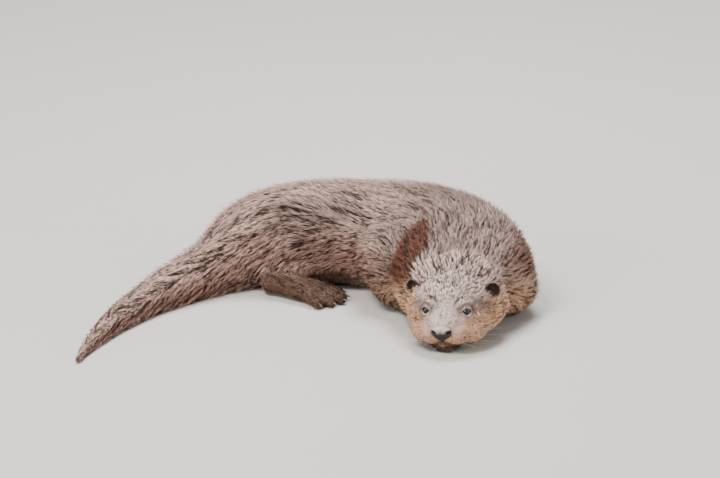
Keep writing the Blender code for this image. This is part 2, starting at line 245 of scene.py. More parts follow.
def get_triangles(mesh):
    mesh.calc_loop_triangles()
    return read(mesh.loop_triangles, "vertices", 3, np.int32)


# How a layer of one, three or four values for each vertex is kept.
LAYERS = {
    1: ("FLOAT", "value"),
    3: ("FLOAT_VECTOR", "vector"),
    4: ("FLOAT_COLOR", "color"),
}


def put_values(mesh, name, values):
    """Stores one number, vector or colour for each vertex."""
    values = np.asarray(values, np.float32)
    kind, key = LAYERS[1 if values.ndim == 1 else values.shape[1]]
    mesh.attributes.new(name, kind, "POINT").data.foreach_set(key, values.ravel())


def get_values(mesh, name):
    """Reads back what put_values stored."""
    layer = mesh.attributes[name]
    width, key = {kind: (width, key) for width, (kind, key) in LAYERS.items()}[layer.data_type]
    values = read(layer.data, key, width).astype(float)
    return values.ravel() if width == 1 else values


def opaque(colours):
    """Colours with a fourth value of 1."""
    return np.concatenate((colours, np.ones((len(colours), 1))), axis=1)


def averaged(values, edges):
    """For each vertex, the mean of its neighbours' values."""
    count = len(values)
    a, b = edges[:, 0], edges[:, 1]
    degree = np.bincount(a, minlength=count) + np.bincount(b, minlength=count)
    columns = values.reshape(count, -1).T
    total = [
        np.bincount(a, weights=column[b], minlength=count)
        + np.bincount(b, weights=column[a], minlength=count)
        for column in columns
    ]
    return (np.array(total) / np.maximum(degree, 1)).T.reshape(values.shape)


def grid_faces(rows, columns):
    """Quads between neighbouring rows of a grid, closed round on itself along the columns."""
    r = np.arange(rows - 1)[:, None]
    c = np.arange(columns)[None, :]
    n = (c + 1) % columns
    corners = (r * columns + c, r * columns + n, (r + 1) * columns + n, (r + 1) * columns + c)
    return np.stack(corners, axis=-1).reshape(-1, 4)


def ringed(path, across, up, size, columns):
    """Circles carried along a path: across times the cosine and up times the sine of an angle
    that runs once round, times the size, added to each point of the path."""
    s = circle(columns)
    ring = across[..., None, :] * np.cos(s)[:, None] + up[..., None, :] * np.sin(s)[:, None]
    return (path[..., None, :] + ring * size).reshape(-1, 3)


SEAM = 1e-7  # vertices closer than this are one


def finish_grid(obj):
    """Merges poles and seams and turns all faces outwards."""
    bm = bmesh.new()
    bm.from_mesh(obj.data)
    bmesh.ops.remove_doubles(bm, verts=bm.verts, dist=SEAM)
    bmesh.ops.holes_fill(bm, edges=[edge for edge in bm.edges if edge.is_boundary])
    bmesh.ops.recalc_face_normals(bm, faces=bm.faces)
    bm.to_mesh(obj.data)
    bm.free()
    return obj


# ---------------------------------------------------------------- places on the frame
def node_points(*names):
    """The corners of the named solids."""
    return np.concatenate([get_points(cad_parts[name].data) for name in names])


def middle_of(name):
    """Middle of a solid's box."""
    low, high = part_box(name)
    return (Vector(low) + Vector(high)) / 2


def outside_box(points, name):
    """How far each point lies outside a solid's box, 0 inside it."""
    low, high = (np.array(corner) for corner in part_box(name))
    return length_of(np.maximum(np.maximum(low - points, points - high), 0))


def head_frame():
    """Turn matrix and nose tip of the head, set from the eyes' middles and the head's angles."""
    turn = (
        Matrix.Rotation(-HEAD_YAW, 3, "Z")
        @ Matrix.Rotation(HEAD_PITCH, 3, "X")
        @ Matrix.Rotation(-HEAD_ROLL, 3, "Y")
    )
    between = (middle_of("eye_left") + middle_of("eye_right")) / 2
    return np.array(turn), np.array(between - turn @ EYES_BEHIND)


HEAD_TURN, NOSE_TIP = head_frame()


def to_head(points):
    """Places in the head's own frame."""
    return (points - NOSE_TIP) @ HEAD_TURN


def from_head(points):
    """Places of the head's own frame, back in the whole animal's."""
    return points @ HEAD_TURN.T + NOSE_TIP


def fold(head):
    """Places in the head's frame with its right side laid over its left."""
    return np.concatenate((np.abs(head[:, :1]), head[:, 1:]), axis=1)


KNOT_STEPS = 40  # points from one knot of the spine to the next
SPINE_STEPS = 300  # points along the whole spine
BATCH = 20000  # vertices that are compared with the spine at once


def spine_line():
    """Points every few millimetres from the nose tip to the tail's end, and the way along them.

    The middles of the trunk's solids are joined by a curve that passes through them all
    (Catmull-Rom), and its points are spaced evenly by their distance along it.
    """
    middles = [node_points(name).mean(axis=0) for name in TRUNK]
    tail = node_points("tail_tip")
    end = tail[np.argmax(np.linalg.norm(tail - middles[-2], axis=1))]
    knots = np.array([NOSE_TIP, *middles, end])
    padded = np.vstack((2 * knots[0] - knots[1], knots, 2 * knots[-1] - knots[-2]))
    t = np.linspace(0, 1, KNOT_STEPS, endpoint=False)[:, None]
    line = []
    for a, b, c, d in zip(padded, padded[1:], padded[2:], padded[3:]):
        bend = t * t * (a - 2.5 * b + 2 * c - 0.5 * d) + t**3 * (1.5 * (b - c) + 0.5 * (d - a))
        line.append(b + 0.5 * t * (c - a) + bend)
    line = np.vstack((*line, end[None]))
    run = np.concatenate(([0], np.cumsum(np.linalg.norm(np.diff(line, axis=0), axis=1))))
    even = np.linspace(0, run[-1], SPINE_STEPS)
    line = np.stack([np.interp(even, run, line[:, k]) for k in range(3)], axis=1)
    return line, unit(np.gradient(line, axis=0)), even


SPINE, SPINE_WAY, SPINE_RUN = spine_line()


def along_spine(points):
    """For each point: distance along the spine, the way the spine runs there, and the angle
    round it, 0 over the back and growing down the animal's left side."""
    nearest = np.empty(len(points), int)
    for start in range(0, len(points), BATCH):
        batch = slice(start, start + BATCH)
        part = points[batch, None, :2] - SPINE[None, :, :2]
        nearest[batch] = np.argmin(np.sum(part * part, axis=2), axis=1)
    way = SPINE_WAY[nearest]
    side = np.cross(way, UP)
    across = np.sum((points - SPINE[nearest]) * unit(side), axis=1)
    angle = np.arctan2(across, points[:, 2] - SPINE[nearest, 2])
    return SPINE_RUN[nearest], way, angle


# ---------------------------------------------------------------- sizes and colours to change
def length(name, description, default):
    return FloatProperty(
        name=name, description=description, default=default, unit="LENGTH", precision=5
    )


def number(name, description, default):
    return IntProperty(name=name, description=description, default=default, min=1)


def factor(name, description, default):
    return FloatProperty(name=name, description=description, default=default)


def degrees(name, description, default):
    return FloatProperty(
        name=name, description=description, default=math.radians(default), subtype="ANGLE"
    )


def colour(name, description, red, green, blue):
    tone = linear(red, green, blue)
    return FloatVectorProperty(
        name=name, description=description, default=tone, subtype="COLOR", min=0, max=1
    )


class OtterSkinSettings(PropertyGroup):
    voxel: length("Grain", "Size of the cells that the skin is drawn with", 0.0028)
    body_depth: length("Body depth", "How far the skin lies inside the solids on the body", 0.0072)
    neck_depth: length("Neck depth", "The same on the neck", 0.0050)
    face_depth: length("Face depth", "The same on the face", 0.0014)
    foot_depth: length("Foot depth", "The same on the feet", 0.0010)
    body_smooth: number("Body smoothing", "Rounds of smoothing on the body", 18)
    jaw_smooth: number("Jaw smoothing", "Further rounds where the jaw meets the neck", 40)
    face_smooth: number("Face smoothing", "Rounds of smoothing on the face and feet", 3)
    lid: length("Lid", "Thickness of the eyelids", 0.0009)


class OtterCoatSettings(PropertyGroup):
    body_length: length("Body fur", "Length of the hair on the body", 0.0180)
    neck_length: length("Neck fur", "Length of the hair on the crown and neck", 0.0105)
    face_length: length("Face fur", "Length of the fur on the face and feet", 0.0032)
    body_spacing: length("Body locks", "Distance between locks on the body", 0.0041)
    neck_spacing: length("Neck locks", "Distance between locks on the crown and neck", 0.0029)
    face_spacing: length("Face locks", "Distance between locks on the face and feet", 0.00148)
    body_width: length("Body tuft", "Width of one tuft on the body", 0.00092)
    neck_width: length("Neck tuft", "Width of one tuft on the crown and neck", 0.00062)
    face_width: length("Face tuft", "Width of one tuft on the face", 0.00046)
    tufts: number("Tufts in a lock", "How many tufts lean together in one lock", 8)
    lift: degrees("Lift", "How far the hair stands off the skin on the body", 11)
    gather: factor("Gather", "How far the points of a lock come together, 0 to 1", 0.30)
    streak: length("Streak", "How far hair leans and rises towards the ridges of the coat", 0.0014)
    guard_hairs: number("Guard hairs", "Long single hairs that stand out of the coat", 15000)
    guard_length: length("Guard length", "Length of a guard hair on the body", 0.0178)
    guard_lift: degrees("Guard lift", "How far guard hairs stand off the skin", 27)
    # The back's pale ends are partly the hair's silvery tips and partly a painted sky sheen on hair
    # that faces up; the belly's darker ends are partly painted shade low down.
    back: colour("Back", "Hair ends over the back", 238, 206, 192)
    flank: colour("Flank", "Hair ends on the sides", 176, 134, 120)
    belly: colour("Belly", "Hair ends low down", 162, 136, 122)
    root: colour("Root", "Hair near the skin", 74, 56, 48)
    rust: colour("Rust", "Parted fur at the sides of the neck", 108, 52, 10)
    tan: colour("Tan", "Cheeks, throat and the sides of the neck", 253, 202, 162)
    crown: colour("Crown", "Forehead and bridge of the nose", 242, 219, 209)
    muzzle: colour("Muzzle", "Whisker pads", 244, 196, 168)
    chin: colour("Chin", "Lips", 62, 42, 34)
    foot: colour("Feet", "Feet", 124, 95, 78)


class OtterFeatureSettings(PropertyGroup):
    iris: colour("Iris", "Iris", 30, 18, 12)
    pupil: colour("Pupil", "Pupil", 6, 5, 5)
    rim: colour("Eye rim", "Bare rim of the lids", 46, 32, 26)
    # a painted reflection along the lower lid
    lower_rim_reflection: colour("Lower rim", "Moist rim of the lower lid", 176, 168, 168)
    # The nose top is partly the grey skin and partly a painted reflection of the sky.
    nose_top_sheen: colour("Nose top", "Upper side of the nose", 190, 180, 176)
    nose_low: colour("Nose low", "Lower side of the nose and nostrils", 30, 21, 18)
    ear_inside: colour("Ear inside", "Hollow of the ear", 44, 29, 22)
    whiskers: number("Whiskers", "Whiskers on each side of the muzzle", 18)
    whisker_length: length("Whisker length", "The longest whisker", 0.036)
    whisker_width: length("Whisker width", "Width of a whisker at its root", 0.00034)
    whisker: colour("Whisker", "Whiskers", 196, 178, 162)
    claw: colour("Claw", "Claws", 82, 62, 50)


class OtterStageSettings(PropertyGroup):
    floor: colour("Floor", "Plain floor", 200, 196, 190)
    azimuth: degrees("Azimuth", "Turn of the camera round the animal", 0)
    elevation: degrees("Elevation", "Height of the camera's view", 17)
    distance: length("Distance", "From the camera to the nose", 7.08)
    lens: factor("Lens", "Focal length in millimetres", 300)
    aside: length("Aside", "How far the view's middle lies to the side of the nose", -0.0956)
    above: length("Above", "How far the view's middle lies above the nose", 0.1086)


class OtterSettings(PropertyGroup):
    skin: PointerProperty(type=OtterSkinSettings)
    coat: PointerProperty(type=OtterCoatSettings)
    feature: PointerProperty(type=OtterFeatureSettings)
    stage: PointerProperty(type=OtterStageSettings)


def settings():
    return bpy.context.scene.otter


# ---------------------------------------------------------------- materials
# Places of a colour mix's share, first and second colour among its inputs, and of its result.
MIX_INPUTS = (0, 6, 7)
MIX_OUTPUT = 2


class Shader:
    """A Principled material with the given fixed socket values, and short ways to add to it.
    Shares and colours may be sockets or plain values."""

    def __init__(self, name, roughness, **sockets):
        self.material = bpy.data.materials.new(name)
        self.material.use_nodes = True
        self.nodes, self.links = self.material.node_tree.nodes, self.material.node_tree.links
        self.surface = self.nodes["Principled BSDF"]
        self.surface.inputs["Roughness"].default_value = roughness
        for socket, value in sockets.items():
            self.surface.inputs[socket.replace("_", " ")].default_value = value

    def node(self, kind, **inputs):
        """A new node, each named input linked to a socket or set to a plain value."""
        node = self.nodes.new(f"ShaderNode{kind}")
        for name, value in inputs.items():
            self.feed(node.inputs[name.replace("_", " ")], value)
        return node

    def feed(self, socket, value):
        """Links a socket to another, or sets its plain value; a plain colour has three values."""
        if isinstance(value, bpy.types.NodeSocket):
            self.links.new(value, socket)
        else:
            socket.default_value = (*value, 1) if socket.type == "RGBA" else value

    def layer(self, name, output="Fac"):
        """What put_values stored under this name, as a number or, with "Color", as a colour."""
        node = self.node("Attribute")
        node.attribute_name = name
        return node.outputs[output]

    def noise(self, scale, detail):
        """Noise on the object's own coordinates."""
        place = self.node("TexCoord").outputs["Object"]
        return self.node("TexNoise", Scale=scale, Detail=detail, Vector=place).outputs["Fac"]

    def scaled(self, value, low, high):
        """A value between 0 and 1 stretched to run from low to high."""
        return self.node("MapRange", To_Min=low, To_Max=high, Value=value).outputs["Result"]

    def mixed(self, share, first, second, mode="MIX"):
        """The first colour where the share is 0 and, by the mode, the second laid on it at 1."""
        mix = self.node("Mix")
        mix.data_type = "RGBA"
        mix.blend_type = mode
        for place, value in zip(MIX_INPUTS, (share, first, second)):
            self.feed(mix.inputs[place], value)
        return mix.outputs[MIX_OUTPUT]

    def mottled(self, base, texture, most, tone):
        """A colour multiplied here and there by a darker tone, at most by this share of it."""
        return self.mixed(self.scaled(texture, 0, most), base, tone, "MULTIPLY")

    def bands(self, value, *stops):
        """Colours along a value from 0 to 1, each stop a position and its colour."""
        node = self.node("ValToRGB", Fac=value)
        stripes = node.color_ramp.elements
        for stripe, (position, tone) in zip(list(stripes), (stops[0], stops[-1])):
            stripe.position = position
            stripe.color = (*tone, 1)
        for position, tone in stops[1:-1]:
            stripes.new(position).color = (*tone, 1)
        return node.outputs["Color"]

    def bump(self, height, distance, strength):
        """Raises the surface's shading by a height of this distance."""
        node = self.node("Bump", Distance=distance, Strength=strength, Height=height)
        self.links.new(node.outputs["Normal"], self.surface.inputs["Normal"])

    def finish(self, base):
        """Joins the colour to the surface and gives back the material."""
        self.links.new(base, self.surface.inputs["Base Color"])
        return self.material


def scaled_tone(tone, factor):
    """A colour made lighter or darker, none of its values above 1."""
    return tuple(min(1, value * factor) for value in tone)


def dress(obj, material, slot, *replaced):
    """Gives a finished piece its material and its ride, and hides the nodes that it stands for. The
    slot is not used.
    """
    obj.data.materials.clear()
    obj.data.materials.append(material)
    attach(obj, BODY)
    if replaced:
        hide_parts(*replaced)
    return obj


# ---------------------------------------------------------------- eyes: shared places
EYE_RADIUS = 0.0060
EYE_OPENING = (math.radians(50), math.radians(44))  # half width and half height of the opening
INNER_CORNER = 1.12  # how much further the opening reaches towards the nose
EYE_LOOK = (0.30, -0.90, 0.08)


def eye_frame(side):
    """Middle of an eye and its own axes in the head's frame: outwards, up, and the way it looks."""
    centre = to_head(np.array(middle_of(f"eye_{WORDS[side]}")))
    look = unit(np.array((side * EYE_LOOK[0], EYE_LOOK[1], EYE_LOOK[2])))
    out = unit(np.cross(look, UP) * -side)
    up = unit(np.cross(out, look) * side)
    if up[2] < 0:
        up = -up
    return centre, out, up, look


def opening_sizes(inward, wide):
    """Half width and half height of the lids' opening. Its inner part is wider, and drawn to a
    point: the height shrinks by a third as the angle towards the nose grows."""
    width = np.where(inward, EYE_OPENING[0] * INNER_CORNER, EYE_OPENING[0])
    return width, EYE_OPENING[1] * (1 - 0.35 * ramp(-wide, 0.3, 1.0))


def opening_share(points, side):
    """How far each direction from the eye's middle lies from its line of sight, as a share of
    the lids' opening: 1 on the rim, less inside it. Also the distance from the eye's middle."""
    centre, out, up, look = eye_frame(side)
    away = points - centre
    ahead = away @ look
    wide = np.arctan2(away @ out, ahead)
    tall = np.arctan2(away @ up, ahead)
    width, height = opening_sizes(wide < 0, wide)
    return np.hypot(wide / width, tall / height), np.linalg.norm(away, axis=-1)


def nose_space():
    """Middle and half sizes of the bare nose in the head's frame: its solid's, set a little
    back and lower, and a fiftieth narrower."""
    solid = to_head(node_points("nose"))
    low, high = solid.min(axis=0), solid.max(axis=0)
    return (low + high) / 2 + (0, 0.0002, -0.0046), (high - low) / 2 * (0.98, 1.0, 0.98)


# ---------------------------------------------------------------- skin
FLESH_GROWN = 0.0004  # the flesh solids overlap by twice this
NOSE_GROWN = -0.0008  # the core of the nose stays inside the bare nose
SAME_CORNER = 1e-6  # corners of a solid closer than this are one


def skin_stock(voxel, lid):
    """The flesh solids, grown by a hair so that they overlap, with lids over the eyes and a
    core inside the nose, all drawn over with one closed surface."""
    stock = bmesh.new()
    for name in (*TRUNK, *LEGS, *FEET, "nose"):
        part = bmesh.new()
        part.from_mesh(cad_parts[name].data)
        bmesh.ops.remove_doubles(part, verts=part.verts, dist=SAME_CORNER)
        mesh = bpy.data.meshes.new("part")
        part.to_mesh(mesh)
        part.free()
        grow = NOSE_GROWN if name == "nose" else FLESH_GROWN
        set_points(mesh, get_points(mesh) + get_normals(mesh) * grow)
        stock.from_mesh(mesh)
        bpy.data.meshes.remove(mesh)
    for word in SIDES:
        place = Matrix.Translation(middle_of(f"eye_{word}"))
        bmesh.ops.create_icosphere(stock, subdivisions=4, radius=EYE_RADIUS + lid, matrix=place)
    mesh = bpy.data.meshes.new("skin")
    stock.to_mesh(mesh)
    stock.free()
    obj = bpy.data.objects.new("skin", mesh)
    link(obj)
    draw = obj.modifiers.new("draw", "REMESH")
    draw.mode = "VOXEL"
    draw.voxel_size = voxel
    drawn = obj.evaluated_get(bpy.context.evaluated_depsgraph_get())
    whole = bpy.data.meshes.new_from_object(drawn)
    obj.modifiers.clear()
    obj.data = whole
    bpy.data.meshes.remove(mesh)
    return obj


def foot_share(points):
    """1 inside the space of a foot, falling to 0 a few millimetres outside it."""
    share = np.zeros(len(points))
    for name in FEET:
        share = np.maximum(share, fall(outside_box(points, name), 0.0, 0.024))
    return share * fall(points[:, 2], 0.022, 0.044)


def face_share(points):
    """1 on the muzzle, falling smoothly to 0 behind the ears."""
    head = to_head(points)
    return fall(length_of(head * (1.0, 1.0, 0.9)), 0.040, 0.125)


def forehead_share(head):
    """1 on the forehead, between and above the eyes, falling to 0 towards the ears and bridge."""
    aside, back, above = fold(head).T
    share = ramp(back, 0.034, 0.048) * fall(back, 0.090, 0.125)
    return share * ramp(above, 0.014, 0.024) * fall(aside, 0.030, 0.046)


def near_eyes(points, inner, outer):
    """1 close round the eyes and 0 further off."""
    share = np.zeros(len(points))
    for side in SIDES.values():
        away = length_of(to_head(points) - eye_frame(side)[0])
        share = np.maximum(share, fall(away, inner, outer))
    return share


JAW_CORNER = ((0.056, 0.122, -0.026), (0.018, 0.026, 0.030))
SHALLOW_NECK = 0.0018  # how much less deep the skin lies on the sides of the neck
DEEP_TAIL = 0.0045  # how much deeper it lies over the root of the tail, half a metre back
LOWEST_SKIN = 0.0004


def skin_depth(points, normals, options):
    """How far each vertex of the skin goes in, by the thickness of the coat over it: most on the
    body, less on the neck, the tail, the face and the feet, none round the eyes and very little
    where the underside rests on the floor."""
    away = length_of(points - NOSE_TIP)
    run = along_spine(points)[0]
    up = normals[:, 2]
    depth = blend(options.neck_depth, options.body_depth, ramp(away, 0.20, 0.32))
    neck = SHALLOW_NECK * ramp(away, 0.11, 0.16) * fall(away, 0.24, 0.32)
    depth = depth - neck * fall(up, 0.4, 0.8)
    depth = depth + DEEP_TAIL * bell(run, 0.53, 0.06) * ramp(up, -0.3, 0.2)
    depth = depth * (1 - 0.35 * ramp(run, 0.68, 0.95))
    depth = blend(depth, options.face_depth, face_share(points))
    depth = blend(depth, options.foot_depth, foot_share(points))
    depth = depth * (1 - near_eyes(points, 0.0085, 0.0140))
    resting = ramp(-up, 0.4, 0.9) * fall(points[:, 2], 0.002, 0.010)
    return depth * (1 - 0.92 * resting)


def settle_skin(mesh, options):
    """Smooths away the solids' flat faces, then moves the skin in by the coat's depth.

    Each round moves a vertex half way to the mean of its neighbours. The face and feet get few
    rounds and keep their forms, and the corner of the jaw gets more.
    """
    edges = get_edges(mesh)
    points = get_points(mesh)
    fine = np.maximum(foot_share(points), face_share(points) ** 0.75)
    fine = np.maximum(fine, near_eyes(points, 0.010, 0.016))
    everywhere = np.ones(len(points))
    stages = (
        (options.face_smooth, everywhere),
        (options.body_smooth - options.face_smooth, fall(fine, 0.2, 0.7)),
        (options.jaw_smooth, bump(fold(to_head(points)), *JAW_CORNER)),
    )
    for rounds, share in stages:
        for _ in range(rounds):
            points += 0.5 * (averaged(points, edges) - points) * share[:, None]
    set_points(mesh, points)
    normals = get_normals(mesh)
    points -= normals * skin_depth(points, normals, options)[:, None]
    points[:, 2] = np.maximum(points[:, 2], LOWEST_SKIN)
    set_points(mesh, points)


def refine_face(mesh, reach):
    """Splits the faces that lie closer to the nose tip than the reach."""
    bm = bmesh.new()
    bm.from_mesh(mesh)
    near = length_of(to_head(get_points(mesh))) < reach
    edges = [e for e in bm.edges if near[e.verts[0].index] and near[e.verts[1].index]]
    bmesh.ops.subdivide_edges(bm, edges=edges, cuts=1, use_grid_fill=True, smooth=0.6)
    bm.to_mesh(mesh)
    bm.free()


# Soft forms of the face: place on the animal's left and reach along each axis, and height; and
# the line of the mouth from its middle to its corner. All in millimetres.
FACE_FORMS = {
    "brow": ((24, 43, 18.5, 10, 7, 4), 3.0),
    "brow fold": ((14, 37, 15, 2.8, 6, 6), -1.4),
    "temple": ((36, 44, 10, 5, 8, 6), -1.2),
    "lower lid": ((26, 35, 1, 8, 5, 3), 1.0),
    "cheek hollow": ((31, 30, -2, 6, 7, 6), -1.0),
    "inner corner": ((17.5, 33.5, 7.5, 2.2, 3, 2.2), -2.0),
    "whisker pad": ((17, 10, -14, 11, 9, 8), 1.8),
    "nose wing": ((14, 8.5, 1, 3, 4, 5), 0.8),
    "chin": ((0, 16, -30, 18, 14, 6), -2.4),
    "jowl": ((52, 100, -12, 20, 20, 20), 7.5),
}
MOUTH_KNOTS = (
    (0, 8, -19.5), (6, 8.5, -22.5), (13, 11, -25), (21, 17, -26), (28, 27, -25), (33, 40, -21.5),
)
PHILTRUM_END = 0.0125  # the furrow of the upper lip starts this far below the nose tip
BEHIND_EYE = 0.0016  # how far the skin drops inside the eyeball


def to_chain(points, knots):
    """Distance from a chain of straight lengths between the knots."""
    best = np.full(len(points), 1.0)
    for a, b in zip(knots, knots[1:]):
        t = np.clip((points - a) @ (b - a) / np.sum((b - a) ** 2), 0, 1)
        best = np.minimum(best, length_of(points - a - t[:, None] * (b - a)))
    return best


def to_mouth(head):
    """Distance from the line of the mouth, a chain of straight lengths on both sides, and from
    the furrow that joins it to the nose."""
    folded = fold(head)
    best = to_chain(folded, np.array(MOUTH_KNOTS) / 1000)
    aside, back, above = folded.T
    philtrum = np.hypot(aside, np.clip(-PHILTRUM_END - above, None, 0))
    in_front = (above > -0.0205) & (back < 0.015)
    return np.where(in_front, np.minimum(best, philtrum), best)


def sculpt_face(mesh):
    """Adds the folds of the face: each form is a round hump or hollow along the normal, the
    mouth is a narrow groove, and the skin inside each eye's opening drops behind the eyeball."""
    points, normals = get_points(mesh), get_normals(mesh)
    head = to_head(points)
    folded = fold(head)
    rise = np.zeros(len(points))
    for hump, height in FACE_FORMS.values():
        rise += height / 1000 * humps(folded, [hump])
    groove = to_mouth(head)
    rise -= 0.0020 * bell(groove, 0, 0.0016)
    rise += 0.0006 * bell(groove, 0.0035, 0.0020) * (head[:, 1] < 0.04)
    points += normals * rise[:, None]
    head = to_head(points)
    centre, half = nose_space()
    across = (head[:, 0] / half[0]) ** 2 + ((head[:, 2] - centre[2]) / half[2]) ** 2
    behind_nose = fall(across, 0.45, 0.95) * (head[:, 1] < centre[1] + 0.006)
    head[:, 1] = blend(head[:, 1], np.maximum(head[:, 1], centre[1] + 0.0050), behind_nose)
    for side in SIDES.values():
        centre = eye_frame(side)[0]
        share, away = opening_share(head, side)
        inside = fall(share, 0.94, 1.06) * (away < EYE_RADIUS * 1.8)
        shrink = (EYE_RADIUS - BEHIND_EYE) / np.maximum(away, 1e-6)
        head = blend(head, centre + (head - centre) * shrink[:, None], inside)
    set_points(mesh, from_head(head))


# How strongly the hair sinks down the sides, by the angle round the spine: on the neck, where it
# sinks everywhere, and on the body, where it rises above the flank.
NECK_SINK = ((0, 0.6, 1.2, 3.1), (0, 0.05, 0.30, 0.45))
BODY_SINK = ((0, 0.3, 0.8, 1.2, 1.6, 3.1), (0, -0.22, -0.34, 0.0, 0.26, 0.30))


def lie_of_coat(points, normals, edges):
    """The way the hair lies at each vertex.

    On the head it runs away from the nose tip and away from the eyes. Behind the head it runs
    along the spine and sinks a little down the sides. On the feet it runs towards the toes.
    Slow ripples turn it a little to either side, and it is smoothed over the surface.
    """
    head = to_head(points)
    run, way, angle = along_spine(points)
    share = ramp(length_of(head), 0.060, 0.140)
    flow = blend(unit(points - NOSE_TIP), way, share)
    side = unit(np.cross(way, UP))
    down = side * (np.sign(angle) * np.cos(angle))[:, None] - UP * np.abs(np.sin(angle))[:, None]
    neck, body = (np.interp(np.abs(angle), *sink) for sink in (NECK_SINK, BODY_SINK))
    sink = blend(neck, body, ramp(run, 0.22, 0.36))
    flow = flow + down * (sink * ramp(run, 0.05, 0.12))[:, None]
    for side in SIDES.values():
        away = head - eye_frame(side)[0]
        near = bell(length_of(away), 0, 0.011)
        flow = flow + 0.9 * near[:, None] * (unit(away) @ HEAD_TURN.T)
    for foot in FEET:
        claws = [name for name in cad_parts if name.startswith(f"claw_{foot}")]
        toes = np.mean([np.array(middle_of(name)) for name in claws], axis=0)
        ahead = unit(toes - np.array(middle_of(foot)))
        inside = fall(outside_box(points, foot), 0.0, 0.008)
        flow = blend(flow, ahead, inside * fall(points[:, 2], 0.024, 0.034))
    flow = along_surface(flow, normals)
    for _ in range(6):
        flow = along_surface(flow + averaged(flow, edges), normals)
    swing = (0.20 * ripple(points, 110, 3) + 0.08 * ripple(points, 260, 4)) * share
    flow = flow + np.cross(normals, flow) * swing[:, None]
    return along_surface(flow, normals)


# ---------------------------------------------------------------- markings
# Lighter and darker patches of the coat: middle and reach, along the spine and round it, and how
# much lighter (or, below 0, darker) the ends of the hair are. Some are painted light and shade:
# painted light on the rump, which faces the light, and on the crest of the shoulder, and painted
# shade in the hollow of the flank, on the low flank and in the hollow behind the shoulder. The
# spots after them and the parting are given by their places in the frame; the spots are painted
# light on the shaded elbow and painted shade in the dip before the shoulder.
PATCHES = {
    # painted light on the rump, which faces the light
    "rump": ((0.575, -0.55), (0.050, 0.60), 0.30),
    # painted shade in the hollow of the flank
    "hollow of the flank": ((0.455, -0.98), (0.105, 0.34), -0.50),
    # painted shade on the low flank
    "low flank": ((0.410, -1.55), (0.100, 0.35), -0.35),
    "neck fold": ((0.278, -0.68), (0.040, 0.34), 1.20),
    # painted shade in the hollow behind the shoulder
    "hollow behind the shoulder": ((0.376, -0.82), (0.015, 0.28), -0.30),
    # painted light on the crest of the shoulder
    "crest of the shoulder": ((0.347, -0.92), (0.012, 0.16), 0.35),
    "side of the spine": ((0.460, -0.42), (0.060, 0.20), 0.22),
    "nape": ((0.270, 0.30), (0.060, 0.45), -0.28),
}
BODY_SPOTS = {
    # painted light on the elbow, which lies in shade
    "elbow": ((0.072, -0.012, 0.056), (0.034, 0.036, 0.024), 0.90),
    # painted shade in the dip before the shoulder
    "dip before the shoulder": ((0.098, -0.019, 0.093), (0.016, 0.016, 0.016), -0.12),
}
PARTING = ((0.105, 0.083, 0.121), (0.123, 0.058, 0.121), (0.141, 0.033, 0.121))
# Tan hair at the corner of the jaw, pale to its roots: partly the tan fur, partly painted light in
# the crease between cheek and neck.
JAW_FUR_LIGHT = ((0.246, -0.112, 0.028), (0.024, 0.050, 0.026))

# Front and rear edge of the rust on the right: angles round the spine, and the distance along it
# at each.
RUST_FRONT = ((-1.5, -1.24, -1.11, -0.90, -0.65, -0.52), (0.074, 0.074, 0.088, 0.107, 0.140, 0.200))
RUST_REAR = ((-1.95, -1.71, -1.50, -1.29, -1.10, -0.78), (0.146, 0.146, 0.157, 0.163, 0.189, 0.208))

# Marks of the face, in the order in which they are laid: a tone and what it is multiplied by,
# how strong the mark is, and its soft humps, each a place on the left and its reach along the
# three axes, in millimetres.
CHEEK_MARKS = (
    ("muzzle", 0.72, 1.0, (17, 12, -14, 16, 16, 12)),
    ("muzzle", 0.30, 0.9, (34, 36, -2, 8, 12, 6)),
    ("muzzle", 0.42, 0.7, (16, 22, 0, 5, 8, 5), (38, 40, -14, 8, 12, 6)),
    # Tan below the ears, brighter than the tan itself: partly the tan fur, partly painted light on
    # sides that get little light.
    ("tan", 1.15, 1.0, (52, 86, 2, 6, 10, 10), (52, 72, -12, 7, 10, 12)),
    ("tan", 1.10, 0.9, (66, 91, -1, 9, 9, 12)),
)
# Painted shade at the inner corners of the eyes and in the clefts between the brows and the bridge,
# and darker lines above the brows.
BROW_MARKS_AND_SHADE = (
    ("muzzle", 0.10, 1.2, (15.8, 32.5, 12.2, 2.6, 5.0, 5.0), (17.2, 31.5, 9.0, 3.4, 4.4, 3.6)),
    ("muzzle", 0.16, 0.8, (14.0, 45.0, 20.0, 1.8, 8.0, 5.0), (22.5, 56.0, 25.0, 1.8, 9.0, 4.0)),
    ("muzzle", 0.22, 0.7, (30.0, 60.0, 24.0, 2.0, 8.0, 4.0), (6.0, 64.0, 33.0, 1.6, 8.0, 4.0)),
)
# Darker temples, at full strength on the left and weaker on the right: partly the temples' own
# brown, partly painted shade on the side turned from the light.
TEMPLE_MARKS = (
    ("muzzle", 0.20, 1.3, (36.5, 50.0, 9.5, 8.5, 13.0, 8.5), (44.0, 56.0, 5.0, 7.0, 11.0, 8.0)),
    ("muzzle", 0.30, 0.75, (41.0, 48.0, 6.0, 11.0, 12.0, 8.0)),
    ("muzzle", 0.20, 1.0, (34.5, 48.0, 12.0, 6.0, 9.0, 6.0)),
)
NOSTRIL_MARKS = (("muzzle", 0.10, 0.8, (12.5, 6.0, -8.0, 2.0, 4.0, 5.0)),)

